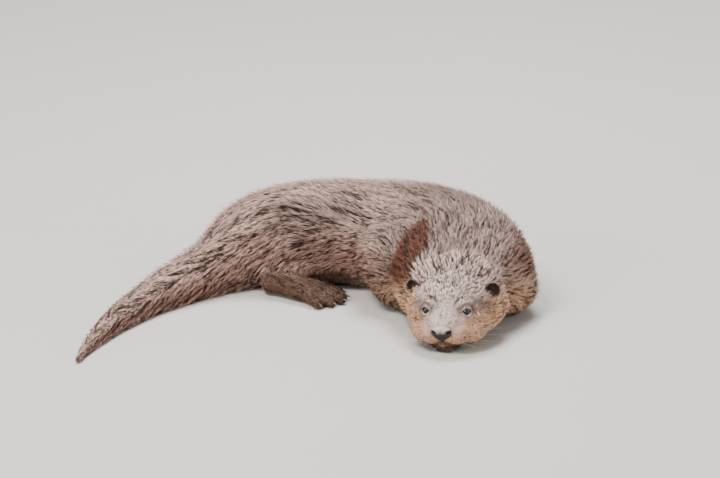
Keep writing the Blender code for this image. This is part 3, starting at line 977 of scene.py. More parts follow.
# Arcs round the eyes: a tone and what it is multiplied by, how strong, the radius and width, and
# the middle and spread of the angle in degrees, 0 outwards, 90 up and 180 towards the nose.
UPPER_ARCS = (
    # dark over the upper lid: partly the lid's dark skin, partly painted shade under the brow
    ("muzzle", 0.22, 1.0, 0.0086, 0.0018, 110, 78),
    ("crown", 1.15, 1.0, 0.0126, 0.0022, 108, 40),
    ("muzzle", 0.14, 1.0, 0.0165, 0.0014, 125, 34),
)
LOWER_ARCS = (
    ("muzzle", 0.15, 1.0, 0.0082, 0.0020, 15, 50),
    ("muzzle", 0.28, 0.9, 0.0090, 0.0021, -85, 70),
    # painted reflection: a thin pale line along the lower lid
    ("crown", 0.80, 0.9, 0.0064, 0.0008, -75, 50),
)
# Soft humps on the right cheek where the hair's roots are made pale: painted light on a side that
# gets little light.
CHEEK_PAINTED_LIGHT = ((-64, 88, 0, 12, 14, 16), (-52, 72, -6, 10, 14, 18))
PADS = ((0.020, 0.012, -0.014), (0.010, 0.010, 0.008))
BRIGHTEST = 0.88
TONES = ("back", "flank", "belly", "root", "rust", "tan", "crown", "muzzle", "chin", "foot")


def body_tone_and_light(points, run, angle):
    """How much lighter or darker the body's hair ends are, by place: a little random tone, painted
    light and shade from the patches, along the rim of the shoulder and at the spots, and darker
    along the parting.
    """
    tone = 1 + 0.10 * ripple(points, 55, 11)
    spread = np.stack((run, angle), axis=1)
    for middle, reach, strength in PATCHES.values():
        tone = tone * (1 + strength * bump(spread, middle, reach))
    # painted light along the rim of the shoulder
    rim = bell(run - 0.026 * ramp(-angle, 0.60, 1.45), 0.345, 0.011)
    rim = rim * ramp(-angle, 0.35, 0.60) * ramp(angle, -2.2, -1.6)
    tone = tone * (1 + 0.42 * rim)
    for place, reach, strength in BODY_SPOTS.values():
        tone = tone * (1 + strength * bump(points, place, reach))
    return tone * (1 - 0.60 * bell(to_chain(points, np.array(PARTING)), 0, 0.0042))


def rust_shares(points, run, angle):
    """Shares of the rust on the right, of the tan band below it and of the rust on the left, and
    of the painted shade in the fold along the rust's front edge."""
    front = np.interp(angle, *RUST_FRONT) + 0.003 * ripple(points, 420, 21)
    rear = np.interp(angle, *RUST_REAR) + 0.006 * ripple(points, 300, 22)
    right = ramp(run, front - 0.005, front + 0.006) * fall(run, rear - 0.010, rear + 0.006)
    right = right * fall(angle + 0.05 * ripple(points, 260, 23), -0.72, -0.50)
    band = right * fall(points[:, 2], 0.038, 0.060)
    right = right - band
    left = ramp(angle, 0.80, 1.25) * ramp(run, 0.120, 0.165) * fall(run, 0.225, 0.290)
    left = 0.90 * left * ramp(points[:, 2], 0.034, 0.056)
    fold_shade = right * bell(run - front, 0.004, 0.009) * ramp(-angle, 0.65, 0.95)
    return right, band, np.maximum(right, left), fold_shade


def mark_face(head, tip, root, tones):
    """Lays the marks of the face over the colours of the hair's ends and roots."""
    folded = fold(head)
    centre, out, up, _ = eye_frame(1)
    from_eye = folded - centre
    near = length_of(from_eye)
    turned = np.degrees(np.arctan2(from_eye @ up, from_eye @ out))
    # the temple marks are weaker on the right, which faces the light: painted shade on the left
    weaker_on_lit_right = 0.55 + 0.45 * ramp(head[:, 0], -0.01, 0.01)

    def mark(rows, weight=1.0):
        """One tone over the highest of a row's humps."""
        nonlocal tip
        for name, factor, strength, *spots in rows:
            share = np.clip(strength * weight * humps(folded, spots), 0, 1)
            tip = blend(tip, tones[name] * factor, share)

    def arc(rows):
        """One tone along each arc round the eye, and half of it at the roots."""
        nonlocal tip, root
        for name, factor, strength, radius, width, middle, spread in rows:
            apart = (turned - middle + 180) % 360 - 180
            share = np.exp(-(((near - radius) / width) ** 2) - (apart / spread) ** 2)
            share = np.clip(strength * share, 0, 1)
            tip = blend(tip, tones[name] * factor, share)
            root = blend(root, tones[name] * factor * 0.5, share)

    root = blend(root, tones["muzzle"] * 0.16, 0.8 * forehead_share(head))
    mark(CHEEK_MARKS)
    # painted light: the roots on the shaded right cheek made nearly as pale as the ends
    pale = np.clip(1.3 * humps(head, CHEEK_PAINTED_LIGHT), 0, 1)
    root = blend(root, np.clip(tip, 0, 1) * 0.85, pale)
    arc(UPPER_ARCS)
    # painted shade at the inner corners of the eyes and beside the bridge
    mark(BROW_MARKS_AND_SHADE)
    mark(TEMPLE_MARKS, weaker_on_lit_right)
    arc(LOWER_ARCS)
    mark(NOSTRIL_MARKS)
    return tip, root


def markings(points, normals, options):
    """Colour of the hair's ends and of its roots, as functions of place.

    The back is pale grey and the flanks brown, by the slope of the surface: partly the hair's
    own silvery tips, partly a painted sheen of the sky on hair that faces up and painted shade
    on the lower sides. Patches are soft bands of the angle round the spine and of the distance
    along it: rust at the sides of the neck, tan on the cheeks and throat, grey on the forehead
    and bridge, brown on the whisker pads, dark on the mouth. Painted shade lies on the chin and
    at the inner corners of the eyes, and painted light and shade on parts of the body, the face
    and the jaw.
    """
    tones = {key: np.array(getattr(options, key)) for key in TONES}
    height, up = points[:, 2], normals[:, 2]
    head = to_head(points)
    folded = fold(head)
    aside, back, above = folded.T
    run, _, angle = along_spine(points)
    # Pale ends where the surface faces up, browner and darker ones on the sides and low down:
    # partly the hair's own colour, partly painted sky sheen on top and painted shade below.
    tip = blend(tones["flank"], tones["back"], ramp(up, -0.15, 0.85))
    tip = blend(tip, tones["belly"], fall(up, -0.7, 0.0))
    tip = tip * body_tone_and_light(points, run, angle)[:, None]
    tip = tip / np.maximum(1, tip.max(axis=1, keepdims=True) / BRIGHTEST)
    root = tones["root"] * (1 + 0.15 * ripple(points, 90, 12))[:, None]

    right, band, rust, fold_shade = rust_shares(points, run, angle)
    tip = blend(tip, tones["rust"], 0.94 * rust)
    # painted shade along the fold at the rust's front edge
    tip = tip * (1 - 0.45 * fold_shade)[:, None]
    root = blend(root, tones["rust"] * 0.40, rust)

    behind = (points - NOSE_TIP)[:, 1]
    back_of_head = ramp(length_of(head), 0.085, 0.135)
    below = fall(above - 0.10 * back + 0.35 * (0.03 - aside), -0.006, 0.008)
    tan = below * (1 - back_of_head) * (1 - 0.6 * right)
    throat = fall(height, 0.033, 0.055) * fall(behind, 0.135, 0.195) * ramp(behind, 0.03, 0.06)
    tan = np.maximum(tan, 0.9 * throat * (1 - 0.6 * rust) * fall(run, 0.30, 0.36))
    tip = blend(tip, tones["tan"], tan)
    tip = blend(tip, tones["crown"], (1 - below) * (1 - back_of_head) * (1 - 0.9 * right))
    nape = ramp(run, 0.100, 0.112) * fall(run, 0.26, 0.34) * (1 - rust)
    tip = tip * (1 - 0.40 * nape)[:, None]
    root = blend(root, tip * 0.55, np.clip(nape + 1 - back_of_head, 0, 1) * 0.85)
    tip, root = mark_face(head, tip, root, tones)

    spots = np.sin(above * 1750 + 0.4) * np.sin(back * 1300 + above * 600)
    spots = ramp(spots, 0.35, 0.90) * np.clip(1.5 * bump(folded, *PADS), 0, 1)
    jaw = bump(points, *JAW_FUR_LIGHT)
    # Painted shade under the chin: its hair is made nearly black.
    chin = ramp(-above, 0.0225, 0.0270) * fall(back, 0.026, 0.048)
    lips = bell(to_mouth(head), 0, 0.0040) * (back < 0.045)
    feet = foot_share(points + 0.004 * ripple(points, 200, 24)[:, None])
    feet = 0.5 * feet + 0.5 * feet**2

    def lay(name, end, end_share, start, start_share):
        """One tone over the ends of the hair and over its roots, each with its own factor."""
        nonlocal tip, root
        tip = blend(tip, tones[name] * end, end_share)
        root = blend(root, tones[name] * start, start_share)

    # partly tan fur, partly painted light in the crease at the corner of the jaw
    lay("tan", 1.0, 0.85 * jaw, 0.50, jaw)
    lay("tan", 0.95, 0.85 * band, 0.40, band)
    tip = tip * (1 - 0.85 * spots)[:, None]
    lay("muzzle", 0.12, 0.97 * chin, 0.05, chin)
    lay("chin", 1.0, lips, 0.4, lips)
    lay("foot", 1.0, feet, 0.6, feet)
    return np.clip(tip, 0, 1), np.clip(root, 0, 1)


def skin_material():
    """Dark skin under the coat, in the colour of the hair's roots, with fine furrows."""
    shader = Shader("otter skin", 0.62, Specular_IOR_Level=0.3)
    roots, ends = (shader.layer(name, "Color") for name in ("root_tint", "tip_tint"))
    fine = shader.noise(900, 4)
    base = shader.mixed(shader.scaled(fine, 0.05, 0.40), roots, ends)
    base = shader.mottled(base, shader.noise(60, 2), 0.5, (0.6, 0.55, 0.5))
    shader.bump(fine, 0.0004, 0.6)
    return shader.finish(base)


FINER_WITHIN = (0.082, 0.056)  # distances from the nose tip inside which the skin is split again


class OTTER_OT_skin(Operator):
    """One smooth skin over all the flesh, with folds, lids and the line of the mouth"""

    bl_idname = "otter.skin"
    bl_label = "Skin"

    def execute(self, context):
        options = settings().skin
        skin = skin_stock(options.voxel, options.lid)
        settle_skin(skin.data, options)
        for reach in FINER_WITHIN:
            refine_face(skin.data, reach)
        sculpt_face(skin.data)
        bm = bmesh.new()
        bm.from_mesh(skin.data)
        bmesh.ops.triangulate(bm, faces=bm.faces)
        bm.to_mesh(skin.data)
        bm.free()
        skin.data.shade_smooth()
        points, normals = get_points(skin.data), get_normals(skin.data)
        tip, root = markings(points, normals, settings().coat)
        put_values(skin.data, "tip_tint", opaque(tip))
        put_values(skin.data, "root_tint", opaque(root))
        put_values(skin.data, "flow", lie_of_coat(points, normals, get_edges(skin.data)))
        dress(skin, skin_material(), "fur", *TRUNK, *LEGS, *FEET)
        return {"FINISHED"}


# ---------------------------------------------------------------- coat
MORTON_CELL = 0.001
MORTON_BITS = 10


def spread_places(points, triangles, weight, count, turn):
    """Evenly spread places on a surface.

    The triangles are put in order along a curve that fills space (Morton order, by mixing the
    bits of their places), the running total of their weight is cut into equal lengths, and one
    place is taken at random in each length. Returns the triangle and the shares of its corners.
    """
    centre = points[triangles].mean(axis=1)
    cell = ((centre - centre.min(axis=0)) / MORTON_CELL).astype(np.int64)
    order = np.zeros(len(cell), np.int64)
    for bit in range(MORTON_BITS):
        for axis in range(3):
            order |= ((cell[:, axis] >> bit) & 1) << (3 * bit + axis)
    rank = np.argsort(order, kind="stable")
    total = np.cumsum(weight[rank])
    aim = (np.arange(count) + turn.uniform(0, 1, count)) / count * total[-1]
    found = rank[np.minimum(np.searchsorted(total, aim), len(rank) - 1)]
    a, b = turn.uniform(0, 1, (2, count))
    a, b = np.where(a + b > 1, 1 - a, a), np.where(a + b > 1, 1 - b, b)
    return found, np.stack((1 - a - b, a, b), axis=1)


def triangle_area(points, triangles):
    """Half the length of the cross product of two sides."""
    a, b, c = (points[triangles[:, k]] for k in range(3))
    return 0.5 * length_of(np.cross(b - a, c - a))


def sampler(surface, found, shares):
    """A function that gives a surface's values, or one of its named layers, at places on it."""
    corners = surface["triangles"][found]

    def at(values):
        values = surface[values] if isinstance(values, str) else values
        return np.einsum("nk,nk...->n...", shares, values[corners])

    return at


def tuft_faces(count):
    """Six triangles for each tuft of five points: three from the root to the ring of three
    points at its widest, and three from the ring to the tip."""
    one = []
    for k in range(3):
        n = (k + 1) % 3
        one += [(0, 1 + n, 1 + k), (1 + k, 1 + n, 4)]
    return (np.array(one)[None] + 5 * np.arange(count)[:, None, None]).reshape(-1, 3)


def tuft_points(root, middle, tip, normal, width):
    """Five points of each tuft: the root, a flat three-sided section at its widest, and the
    tip. The section is a third as high as it is wide."""
    way = unit(tip - root)
    across = unit(np.cross(way, normal))
    up = np.cross(across, way)
    half = across * width[:, None] / 2
    top = middle + up * width[:, None] * 0.34
    return np.stack((root, middle + half, middle - half, top, tip), axis=1)


FACE_RADIUS = 0.135  # the map of the face runs from the nose to this distance
MAP_EDGE = 0.01
LOWEST_HAIR = 0.0003
# Of each tuft's five points: how far along the hair it lies, and its place in the tuft's own
# small patch of the map, in units of the patch.
TUFT_ALONG = (0, 0.45, 0.45, 0.45, 1.0)
TUFT_PATCH = ((0, -1), (1, 0), (-1, 0), (0, 0), (0, 1))
PATCH_SIZE = 0.0015


def unwrap(points, kind):
    """Place of each point on the unrolled surface, from 0 to 1 both ways.

    The body is unrolled round its spine: distance along it, and angle round it. The face is
    unrolled round the line from the nose to the nape in the same way.
    """
    if kind == "face":
        head = to_head(points)
        u = np.clip(length_of(head) / FACE_RADIUS, 0, 1)
        angle = np.arctan2(head[:, 0], head[:, 2] + 0.008)
    else:
        run, _, angle = along_spine(points)
        u = run / SPINE_RUN[-1]
    v = angle / FULL_TURN + 0.5
    return MAP_EDGE + (1 - 2 * MAP_EDGE) * np.stack((u, v), axis=1)


def coat_piece(name, tufts, kind, material):
    """One joined mesh of tufts with its attributes and its OFBake map."""
    root, middle, tip, normal, width, root_tint, tip_tint, shade = tufts
    points = tuft_points(root, middle, tip, normal, width)
    points[..., 2] = np.maximum(points[..., 2], LOWEST_HAIR)
    obj = new_mesh_object(name, points.reshape(-1, 3), tuft_faces(len(root)))
    mesh = obj.data
    put_values(mesh, "along", np.tile(TUFT_ALONG, len(root)))
    put_values(mesh, "shade", np.repeat(shade, 5))
    put_values(mesh, "root_tint", opaque(np.repeat(root_tint, 5, axis=0)))
    put_values(mesh, "tip_tint", opaque(np.repeat(tip_tint, 5, axis=0)))
    patch = np.array(TUFT_PATCH) * PATCH_SIZE
    spots = (unwrap(root, kind)[:, None] + patch).reshape(-1, 2)
    corners = read(mesh.loops, "vertex_index", 1, np.int32)[:, 0]
    layer = mesh.uv_layers.new(name="OFBake")
    layer.uv.foreach_set("vector", spots[corners].astype(np.float32).ravel())
    return dress(obj, material, "fur")


def coat_material():
    """Hair from dark roots to pale ends, each tuft darkened by its shade layer: a little random
    tone, painted light on the coat's ridges and painted shade in its furrows and between locks.
    """
    shader = Shader("otter coat", 0.48, Specular_IOR_Level=0.30)
    roots, ends = (shader.layer(name, "Color") for name in ("root_tint", "tip_tint"))
    curve = shader.node("MapRange", From_Min=0.05, From_Max=0.80, Value=shader.layer("along"))
    curve.interpolation_type = "SMOOTHSTEP"
    base = shader.mixed(curve.outputs["Result"], roots, ends)
    base = shader.mottled(base, shader.noise(140, 2), 0.30, (0.60, 0.50, 0.45))
    # Painted shade: the hair's colour taken towards near black where the shade layer is low.
    dark = shader.mixed(1.0, base, (0.12, 0.085, 0.070), "MULTIPLY")
    return shader.finish(shader.mixed(shader.layer("shade"), dark, base))


# What changes with the grade of the coat, from 0 on the muzzle through 1 on the neck to 2 on the
# body: the width and half length of its streaks, how far hair leans towards their ridges, how
# strongly painted light and shade lighten their ridges and darken their furrows, and how light it
# is between them.
STREAK_GRADES = (0, 0.4, 1, 2)
STREAK_WIDTH = (0.0014, 0.0021, 0.0016, 0.0016)
STREAK_REACH = (0.004, 0.009, 0.008, 0.0125)
STREAK_LEAN = (0.15, 0.50, 0.65, 1.0)
STREAK_CONTRAST = (0.40, 0.42, 0.45, 1.00)
SHADE_LEVEL = (0.86, 0.80, 0.76, 0.675)


def graded(options, name, grade):
    """A size that goes from the face's at 0, through the neck's at 1, to the body's at 2."""
    sizes = [getattr(options, f"{part}_{name}") for part in ("face", "neck", "body")]
    return np.interp(grade, (0, 1, 2), sizes)


def streak_at(places, way, grade):
    """The coat's streaks at these places, in the sizes of their grade."""
    width = np.interp(grade, STREAK_GRADES, STREAK_WIDTH)
    return streaks(places, way, width, np.interp(grade, STREAK_GRADES, STREAK_REACH))


def raised(way, normal, lift):
    """The way along the surface, turned up from it by the angle of the lift."""
    return way * np.cos(lift)[:, None] + normal * np.sin(lift)[:, None]


def grow_locks(surface, options, turn):
    """Tufts in locks over a whole surface.

    Each lock has a root place, and its point lies one hair's length along the flow, raised by
    the lift. Its tufts are set round the root in an oval, longer along the flow, and their
    points lean in towards the lock's point. Streaks drawn out along the flow then move every
    tip towards the nearest ridge and raise the ridges, and give each tuft a shade: painted
    light on the ridges and painted shade in the furrows.
    """
    points, triangles = surface["points"], surface["triangles"]
    spacing = graded(options, "spacing", surface["grade"])
    dense = (surface["keep"] / spacing**2)[triangles].mean(axis=1)
    weight = triangle_area(points, triangles) * dense
    count = int(weight.sum())
    at = sampler(surface, *spread_places(points, triangles, weight, count, turn))
    place, normal = at("points"), unit(at("normals"))
    way = along_surface(at("flow"), normal)
    grade, size = at("grade"), at("size")
    side = np.cross(way, normal)
    hair = graded(options, "length", grade) * size * turn.uniform(0.82, 1.15, count)
    width = graded(options, "width", grade)
    step = graded(options, "spacing", grade)
    lift = options.lift * at("stand") * turn.uniform(0.6, 1.35, count)
    tone = turn.normal(0, 0.07, count)
    ahead = unit(way + side * turn.normal(0, 0.04, count)[:, None])
    point = hair[:, None] * raised(ahead, normal, lift)

    n = options.tufts

    def many(values):
        """Every lock's value for each of its tufts."""
        return np.repeat(values, n, axis=0)

    ring = turn.uniform(0, FULL_TURN, count * n)
    far = np.sqrt(turn.uniform(0, 1, count * n))
    far[::n] *= 0.2
    normal, way, side, hair, step, grade = (
        many(values) for values in (normal, way, side, hair, step, grade)
    )
    along = far * np.cos(ring) * step * 0.95
    across = far * np.sin(ring) * step * 0.60
    offset = way * along[:, None] + side * across[:, None]
    root = many(place) + offset
    beside = side * (0.3 * np.interp(grade, STREAK_GRADES, STREAK_WIDTH))[:, None]
    ridge = streak_at(root, way, grade)
    slope = streak_at(root + beside, way, grade) - streak_at(root - beside, way, grade)
    lean = np.interp(grade, STREAK_GRADES, STREAK_LEAN) * options.streak
    short = 1 - 0.25 * far * turn.uniform(0.0, 1.0, count * n)
    wild = turn.normal(0, 0.05, count * n) * hair
    aside = side * (wild + np.clip(slope, -1.5, 1.5) * lean)[:, None]
    tip = many(place) + many(point) * short[:, None] + (offset * (1 - options.gather) + aside)
    tip += normal * (np.clip(ridge, -1.6, 1.6) * lean * 0.8 - far * hair * 0.04)[:, None]
    root -= normal * 0.0003
    middle = root + (tip - root) * 0.44 + normal * (hair * 0.075)[:, None]
    bold = np.interp(grade, STREAK_GRADES, STREAK_CONTRAST) * many(at("bold"))
    level = np.interp(grade, STREAK_GRADES, SHADE_LEVEL)
    # Shade: random tone for each lock and tuft, painted light on the streaks' ridges, and painted
    # shade in their furrows and towards the edges of each lock.
    shade = level + many(tone) + bold * np.clip(ridge, -2, 1.3) - 0.14 * far**2
    shade = np.clip(shade + turn.normal(0, 0.08, count * n), 0.0, 1.0)
    widths = many(width) * turn.uniform(0.7, 1.25, count * n)
    if "paint" in surface:
        tip_tint, root_tint = surface["paint"](middle, normal)
    else:
        tip_tint, root_tint = many(at("tip_tint")), many(at("root_tint"))
    return root, middle, tip, normal, widths, root_tint, tip_tint, shade


def grow_guard_hairs(surface, options, turn):
    """Long thin single hairs that stand off the coat and break its outline."""
    points, triangles = surface["points"], surface["triangles"]
    dense = surface["keep"] * ramp(surface["grade"], 0.45, 1.4)
    dense = dense * ramp(surface["normals"][:, 2], -0.6, 0.1)
    weight = triangle_area(points, triangles) * dense[triangles].mean(axis=1)
    count = options.guard_hairs
    at = sampler(surface, *spread_places(points, triangles, weight, count, turn))
    root, normal = at("points"), unit(at("normals"))
    way = along_surface(at("flow"), normal)
    way = unit(way + np.cross(way, normal) * turn.normal(0, 0.16, count)[:, None])
    grade = at("grade")
    hair = options.guard_length * np.interp(grade, (0.4, 1, 2), (0.40, 0.62, 1.0)) * at("size")
    hair = hair * turn.uniform(0.75, 1.15, count)
    lift = options.guard_lift * turn.uniform(0.5, 1.35, count) * at("stand")
    tip = root + hair[:, None] * raised(way, normal, lift)
    middle = root + (tip - root) * 0.5 + normal * (hair * 0.05)[:, None]
    widths = graded(options, "width", grade) * 0.72
    ridge = streak_at(root, way, grade)
    # Shade: random tone, with painted light on the streaks' ridges and painted shade in their
    # furrows.
    shade = np.clip(turn.normal(0.85, 0.12, count) + 0.5 * ridge, 0, 1)
    return root, middle, tip, normal, widths, at("root_tint"), at("tip_tint"), shade


def bare_share(points, normals):
    """0 where no hair grows, on the nose, in the eyes' openings, in the ears and on the resting
    underside, and 1 elsewhere."""
    head = to_head(points)
    keep = 1 - ramp(-normals[:, 2], 0.55, 0.85) * fall(points[:, 2], 0.003, 0.008)
    for side in SIDES.values():
        share, away = opening_share(head, side)
        keep = keep * np.where((share < 1.13) & (away < EYE_RADIUS * 1.7), 0, 1)
        ear, _, _, look = ear_axes(side)
        keep = keep * np.where(length_of(head - ear - 0.003 * look) < EAR_ROOT, 0, 1)
    centre, half = nose_space()
    half = half * (0.97, 1.4, 0.98)
    width = half[0] * (1 - 0.40 * ramp(centre[2] - head[:, 2], 0.0005, 0.0090))
    inside = (head[:, 0] / width) ** 2 + ((head[:, 2] - centre[2]) / half[2]) ** 2 < 1
    return keep * np.where(inside & (np.abs(head[:, 1] - centre[1]) < half[1]), 0, 1)


# By the distance from the nose tip: the grade of the coat, and how far the hair stands up.
GRADE_BY_DISTANCE = ((0.026, 0.055, 0.090, 0.150, 0.250), (0.0, 0.35, 0.9, 1.1, 2.0))
STAND_BY_DISTANCE = ((0.03, 0.08, 0.11, 0.20), (0.70, 0.70, 1.00, 0.90))
FOOT_GRADE = 0.25
EAR_ROOT = 0.0068  # the skin is bare inside this distance from the root of an ear
FACE_COAT_WITHIN = 0.115  # tufts closer than this to the nose tip are pieces of the face
TUFTS_IN_A_PIECE = 32500


class OTTER_OT_coat(Operator):
    """The coat: locks of tapering tufts over the whole skin, finest on the face and feet"""

    bl_idname = "otter.coat"
    bl_label = "Coat"

    def execute(self, context):
        options = settings().coat
        skin = bpy.data.objects["skin"].data
        points, normals = get_points(skin), get_normals(skin)
        head = to_head(points)
        away = length_of(head)
        run = along_spine(points)[0]
        grade = blend(np.interp(away, *GRADE_BY_DISTANCE), FOOT_GRADE, foot_share(points))
        size = 1 - 0.30 * fall(away, 0.010, 0.045) - 0.30 * near_eyes(points, 0.007, 0.016)
        size = size * (1 - 0.50 * ramp(run, 0.60, 0.88)) * (1 - 0.45 * ramp(run, 0.88, 0.98))
        for side in SIDES.values():
            centre, _, _, look = ear_axes(side)
            near = fall(length_of(head - centre - 0.008 * look), 0.009, 0.021)
            size = size * (1 - 0.65 * near * (((head - centre) @ look) > -0.002))
        stand = 1 + 0.6 * ramp(run, 0.44, 0.56) * fall(run, 0.62, 0.70)
        stand = stand * np.interp(away, *STAND_BY_DISTANCE)
        stand = stand + 1.1 * bell(run, 0.099, 0.009) * ramp(points[:, 2], 0.05, 0.07)
        surface = {
            "points": points,
            "normals": normals,
            "triangles": get_triangles(skin),
            "flow": get_values(skin, "flow"),
            "grade": grade,
            "size": size,
            "stand": stand,
            "keep": bare_share(points, normals),
            # stronger painted light and shade of the streaks on the forehead
            "bold": 1 + 1.4 * forehead_share(head),
            "tip_tint": get_values(skin, "tip_tint")[:, :3],
            "root_tint": get_values(skin, "root_tint")[:, :3],
            "paint": lambda places, ways: markings(places, ways, options),
        }
        turn = np.random.default_rng(7)
        tufts = grow_locks(surface, options, turn)
        material = coat_material()
        on_face = (length_of(to_head(tufts[0])) < FACE_COAT_WITHIN) & (tufts[0][:, 2] > 0.0)
        for kind, chosen in (("face", np.flatnonzero(on_face)), ("body", np.flatnonzero(~on_face))):
            chosen = turn.permutation(chosen)
            parts = np.array_split(chosen, math.ceil(len(chosen) / TUFTS_IN_A_PIECE))
            for k, part in enumerate(parts):
                name = f"coat_{kind}_{k + 1}"
                coat_piece(name, [values[part] for values in tufts], kind, material)
        coat_piece("coat_guard", grow_guard_hairs(surface, options, turn), "body", material)
        return {"FINISHED"}


# ---------------------------------------------------------------- eyes
NEARLY_BLACK = (0.008, 0.006, 0.005)


def eye_material(options):
    """A dark wet eye: pupil, then a streaked brown iris, then nearly black, by angle."""
    wet = {"Coat_Weight": 0.8, "Coat_Roughness": 0.03, "Coat_IOR": 1.45}
    shader = Shader("otter eye", 0.18, Specular_IOR_Level=0.2, **wet)
    base = shader.bands(
        shader.layer("polar"),
        (0.095, options.pupil),
        (0.115, options.iris),
        (0.22, scaled_tone(options.iris, 0.7)),
        (0.30, NEARLY_BLACK),
    )
    return shader.finish(shader.mottled(base, shader.noise(1800, 3), 0.6, (0.4, 0.35, 0.3)))


def rim_material(options):
    """The dark moist rims of the lids, with a painted reflection along the lower lid."""
    shader = Shader("otter eye rim", 0.30, Specular_IOR_Level=0.5)
    tint = shader.mixed(shader.noise(1500, 2), options.rim, scaled_tone(options.rim, 0.5))
    return shader.finish(shader.mixed(shader.layer("low"), tint, options.lower_rim_reflection))


def eyeball(side):
    """A ball of rows round the line of sight, with a low dome over the iris: the radius grows
    by a twentieth where the angle from the line of sight is small."""
    centre, out, up, look = eye_frame(side)
    rows, columns = 33, 48
    polar = np.linspace(0, math.pi, rows)[:, None]
    turn = circle(columns)
    radius = EYE_RADIUS * (1 + 0.05 * bell(polar, 0, 0.55))
    place = (
        (radius * np.sin(polar) * np.cos(turn))[..., None] * out
        + (radius * np.sin(polar) * np.sin(turn))[..., None] * up
        + (radius * np.cos(polar))[..., None] * look
    )
    points = from_head(centre + place.reshape(-1, 3))
    obj = new_mesh_object(f"eyeball_{WORDS[side]}", points, grid_faces(rows, columns))
    put_values(obj.data, "polar", np.repeat(polar.ravel() / math.pi, columns))
    return finish_grid(obj)


def lid_rim(side):
    """A thin moist band round the opening: a flattened circle carried along the rim of the
    opening, drawn just outside the eyeball, and pulled out a little at the inner corner."""
    centre, out, up, look = eye_frame(side)
    rows, columns = 72, 10
    t = circle(rows)
    width, _ = opening_sizes(np.cos(t) < 0, 0)
    wide = np.cos(t) * width
    tall = np.sin(t) * opening_sizes(False, wide)[1]
    aim = unit(np.tan(wide)[:, None] * out + np.tan(tall)[:, None] * up + look)
    path = centre + aim * (EYE_RADIUS + 0.0003)
    along = unit(np.roll(path, -1, axis=0) - np.roll(path, 1, axis=0))
    points = ringed(path, aim * 0.00040, np.cross(along, aim) * 0.00058, 1, columns)
    faces = grid_faces(rows + 1, columns) % (rows * columns)
    obj = new_mesh_object(f"lid_rim_{WORDS[side]}", from_head(points), faces)
    # low: 1 along the lower lid, where the painted reflection lies
    put_values(obj.data, "low", np.repeat(ramp(-np.sin(t), 0.25, 0.75), columns))
    return finish_grid(obj)


class OTTER_OT_eyes(Operator):
    """Eyeballs with pupil and iris, and the moist rims of the lids"""

    bl_idname = "otter.eyes"
    bl_label = "Eyes"

    def execute(self, context):
        ball, rim = eye_material(settings().feature), rim_material(settings().feature)
        for word, side in SIDES.items():
            dress(eyeball(side), ball, "eye", f"eye_{word}")
            dress(lid_rim(side), rim, "nose")
        return {"FINISHED"}


# ---------------------------------------------------------------- nose
def nose_material(options):
    """Bare moist skin: pale grey above and dark below, by the piece's own height, and pebbled. The
    pale top is partly the grey skin and partly a painted reflection of the sky.
    """
    shader = Shader("otter nose", 0.48, Specular_IOR_Level=0.35)
    tint = shader.mixed(shader.layer("tall"), options.nose_low, options.nose_top_sheen)
    tint = shader.mottled(tint, shader.noise(500, 3), 0.5, (0.5, 0.45, 0.43))
    place = shader.node("TexCoord").outputs["Object"]
    pebbles = shader.node("TexVoronoi", Scale=1500, Vector=place)
    height = shader.node("Math")
    height.operation = "MULTIPLY"
    shader.feed(height.inputs[0], pebbles.outputs["Distance"])
    shader.feed(height.inputs[1], shader.layer("bare"))
    shader.bump(height.outputs["Value"], 0.00018, 0.6)
    return shader.finish(tint)


# Hollows and swellings of each half of the nose, seen from the front: distance from the middle
# and height over the nose's own, reach both ways, and how far they press the surface in.
NOSTRIL = ((0.0084, 0.0010), (0.0020, 0.0026), 0.0044)
NOSTRIL_SLIT = ((0.0108, 0.0018), (0.0018, 0.0020), 0.0030)
NOSE_WING = ((0.0080, 0.0050), (0.0035, 0.0015), -0.0005)
NOSE_FURROW = 0.0007


def nose_pad():
    """The bare nose: a squashed ball narrowed towards its foot, with two curled nostrils and a
    middle furrow pressed in. Rows run from the front's middle to the back's, u goes round."""
    centre, half = nose_space()
    rows, columns = 97, 128
    polar = np.linspace(0, math.pi, rows)[:, None]
    u = circle(columns)[None]
    spread = np.abs(np.sin(polar)) ** 0.72
    x = spread * np.sign(np.cos(u)) * np.abs(np.cos(u)) ** 0.85
    z = spread * np.sin(u)
    x = x * (1 - 0.40 * ramp(-z, 0.05, 0.95))
    z = z + 0.10 * (1 - x * x) * (z > 0) * np.abs(z)
    y = -np.cos(polar) * np.ones_like(u)
    y = np.sign(y) * np.abs(y) ** 0.8
    points = centre + np.stack((x, y, z), axis=-1).reshape(-1, 3) * half
    seen = np.stack((np.abs(points[:, 0]), points[:, 2]), axis=1)
    front = fall(points[:, 1], centre[1] - 0.001, centre[1] + 0.003)
    hole, slit, wing = (
        bump(seen, (aside, centre[2] + above), reach)
        for (aside, above), reach, _ in (NOSTRIL, NOSTRIL_SLIT, NOSE_WING)
    )
    furrow = bell(points[:, 0], 0, 0.0005) * ramp(-points[:, 2], -0.001, 0.003)
    pressed = NOSTRIL[2] * hole + NOSTRIL_SLIT[2] * slit + NOSE_FURROW * furrow
    points[:, 1] += front * (pressed + NOSE_WING[2] * wing)
    # tall: how far up the nose a point lies, kept out of the nostrils; it carries the pale top,
    # partly a painted sky reflection
    tall = ramp(points[:, 2], centre[2] - 0.0012, centre[2] + 0.0070)
    tall = tall * (1 - np.clip(1.6 * hole + 1.4 * slit, 0, 1) * front) * (1 - 0.4 * furrow)
    obj = new_mesh_object("nose_pad", from_head(points), grid_faces(rows, columns))
    put_values(obj.data, "tall", tall)
    put_values(obj.data, "bare", 1 - np.clip(2.2 * hole + 2.0 * slit, 0, 1) * front)
    return finish_grid(obj)


